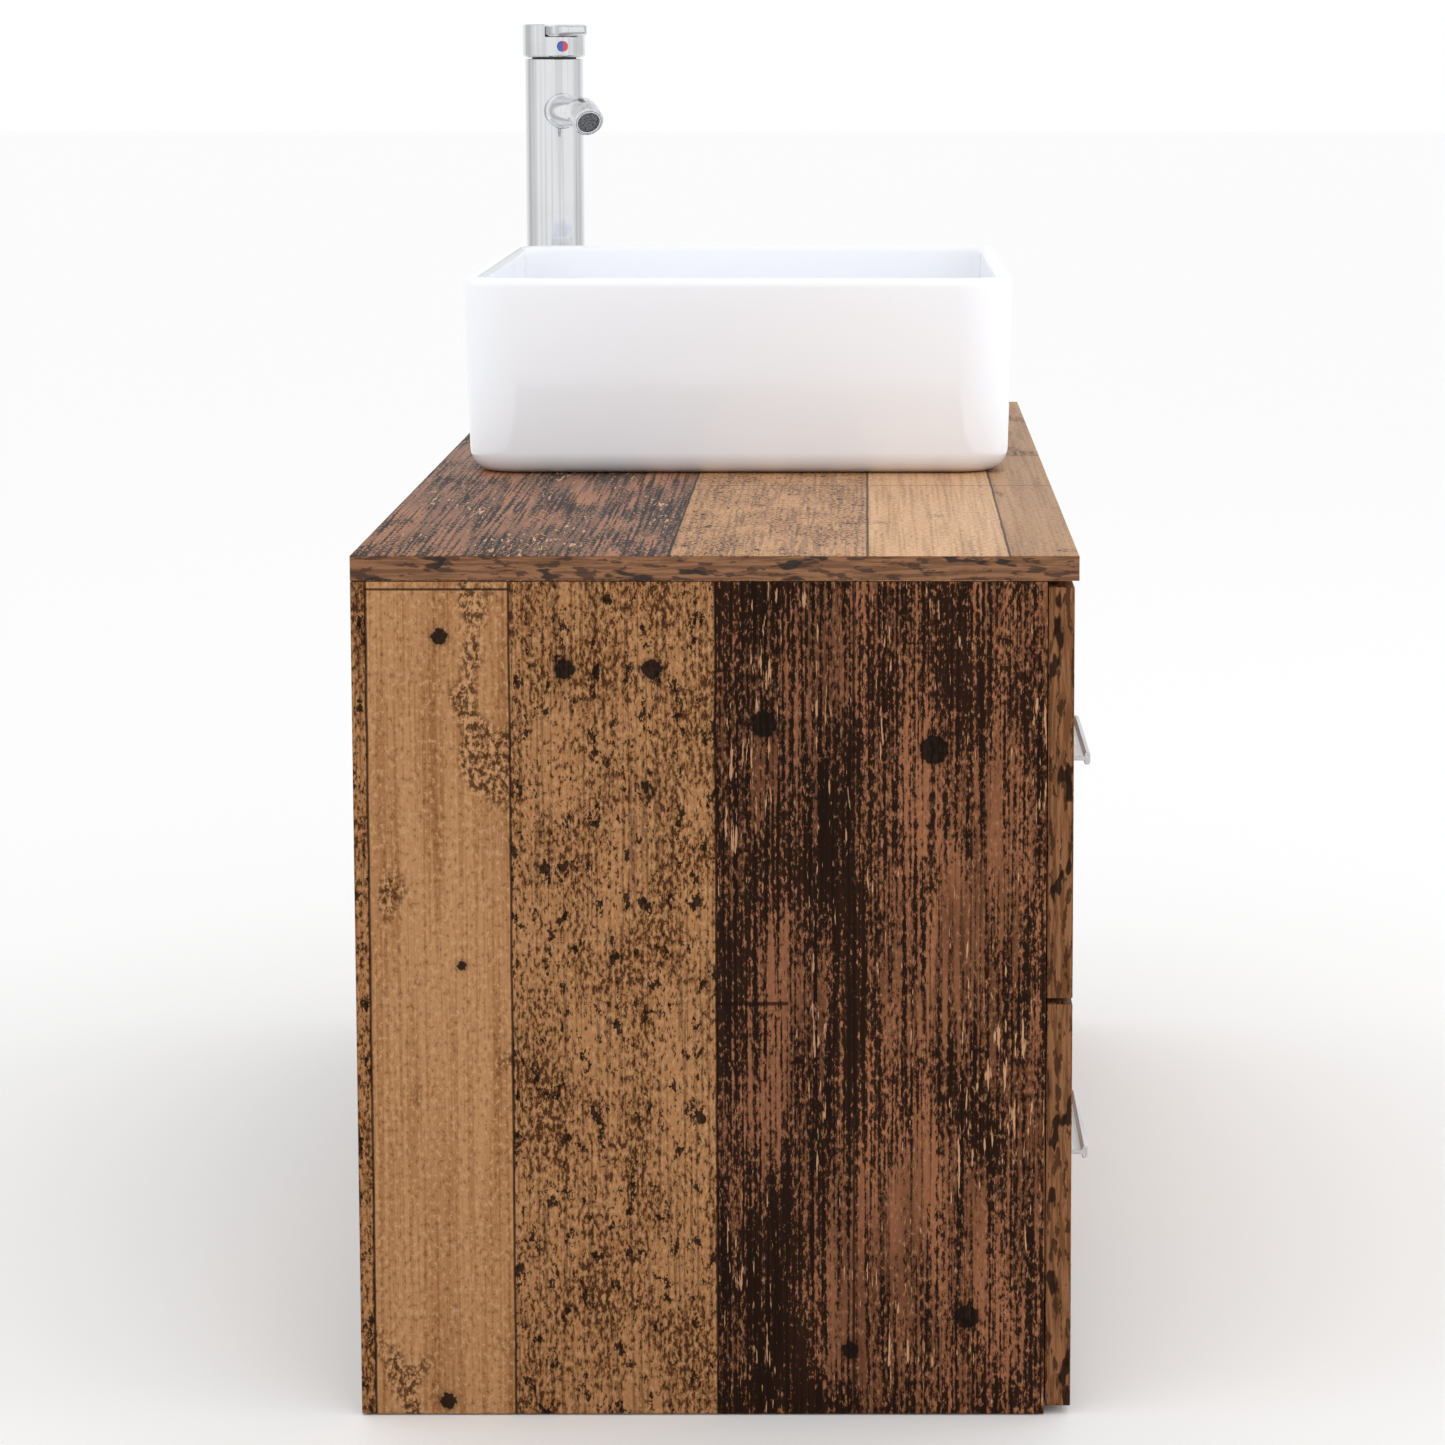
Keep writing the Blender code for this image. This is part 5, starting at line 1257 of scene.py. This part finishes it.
class SetStudio(bpy.types.Operator):
    """Pale floor, soft lights and the camera"""

    bl_idname = "vanity.set_studio"
    bl_label = "Studio"
    floor_reach = 30.0
    floor_drop = 0.0008
    # Name, place, size and watts.
    lights = (
        ("key", (-3.6, -0.7, 1.2), 2.4, 17.0),
        ("overhead", (0.2, 0.0, 3.0), 3.0, 1.0),
        ("front", (0.4, -3.6, 1.2), 2.4, 13.0),
    )
    lit_point = (0.0, 0.0, 0.4)

    def execute(self, context):
        studio = settings().studio
        scene = bpy.context.scene
        world = bpy.data.worlds.new("studio")
        world.use_nodes = True
        world.node_tree.nodes["Background"].inputs["Color"].default_value = (1.0, 1.0, 1.0, 1.0)
        world.node_tree.nodes["Background"].inputs["Strength"].default_value = 1.0
        scene.world = world
        scene.view_settings.view_transform = "Standard"
        self.add_floor(studio)
        self.add_lights()
        data = bpy.data.cameras.new("camera")
        data.lens = studio.lens
        data.sensor_width = 36.0
        data.shift_x = studio.shift_x
        data.shift_y = studio.shift_y
        data.clip_start, data.clip_end = 0.05, 60.0
        camera = bpy.data.objects.new("camera", data)
        scene.collection.objects.link(camera)
        camera.location = (LEFT_X - studio.distance, -studio.aside, studio.eye_height)
        ahead = Vector((math.cos(studio.tilt), 0.0, -math.sin(studio.tilt)))
        camera.rotation_euler = ahead.to_track_quat("-Z", "Y").to_euler()
        scene.camera = camera
        return {"FINISHED"}

    def add_floor(self, studio):
        """A level sheet, dense near the cabinet and running far past it."""
        spread = np.linspace(-1, 1, 41)
        reach = np.sign(spread) * np.abs(spread) ** 2 * self.floor_reach
        x, y = np.meshgrid(reach, reach, indexing="ij")
        grid = np.stack((x, y, np.full_like(x, -self.floor_drop)), axis=-1)
        mesh = grid_mesh("floor", grid, ring=False)
        floor = bpy.data.objects.new("floor", mesh)
        finish = Finish("pale_floor", roughness=0.7)
        cloud = finish.noise(finish.place, 2.0)
        shade = finish.blend(finish.ramp(cloud, 0.3, 0.7) * 0.02, studio.floor, (0.90, 0.90, 0.90))
        finish.paint(Base_Color=shade)
        mesh.materials.append(finish.material)
        bpy.context.scene.collection.objects.link(floor)

    def add_lights(self):
        """Large soft lights: one beside the camera, a faint one above, one in front. None is mirrored."""
        for name, place, size, power in self.lights:
            data = bpy.data.lights.new(name, "AREA")
            data.size = size
            data.energy = power
            light = bpy.data.objects.new(name, data)
            light.location = place
            light.visible_glossy = False
            aim = Vector(self.lit_point) - Vector(place)
            light.rotation_euler = aim.to_track_quat("-Z", "Y").to_euler()
            bpy.context.scene.collection.objects.link(light)


class VanityPanel(bpy.types.Panel):
    """Lists the steps that dress the vanity"""

    bl_idname = "VIEW3D_PT_vanity"
    bl_label = "Vanity"
    bl_space_type = "VIEW_3D"
    bl_region_type = "UI"
    bl_category = "Vanity"

    def draw(self, context):
        for step in STEPS:
            self.layout.operator(step.bl_idname)


STEPS = (DressBoards, DressHandles, DressBasin, DressWaste, DressTrap, DressTap, DressHardware, SetStudio)
CLASSES = (
    BoardSettings, BasinSettings, TapSettings, FittingSettings, StudioSettings, VanitySettings,
    *STEPS, VanityPanel,
)


def register():
    for cls in CLASSES:
        bpy.utils.register_class(cls)
    bpy.types.Scene.vanity = bpy.props.PointerProperty(type=VanitySettings)


def unregister():
    del bpy.types.Scene.vanity
    for cls in reversed(CLASSES):
        bpy.utils.unregister_class(cls)


def main():
    register()
    for step in STEPS:
        group, name = step.bl_idname.split(".")
        getattr(getattr(bpy.ops, group), name)()


if __name__ == "__main__":
    main()
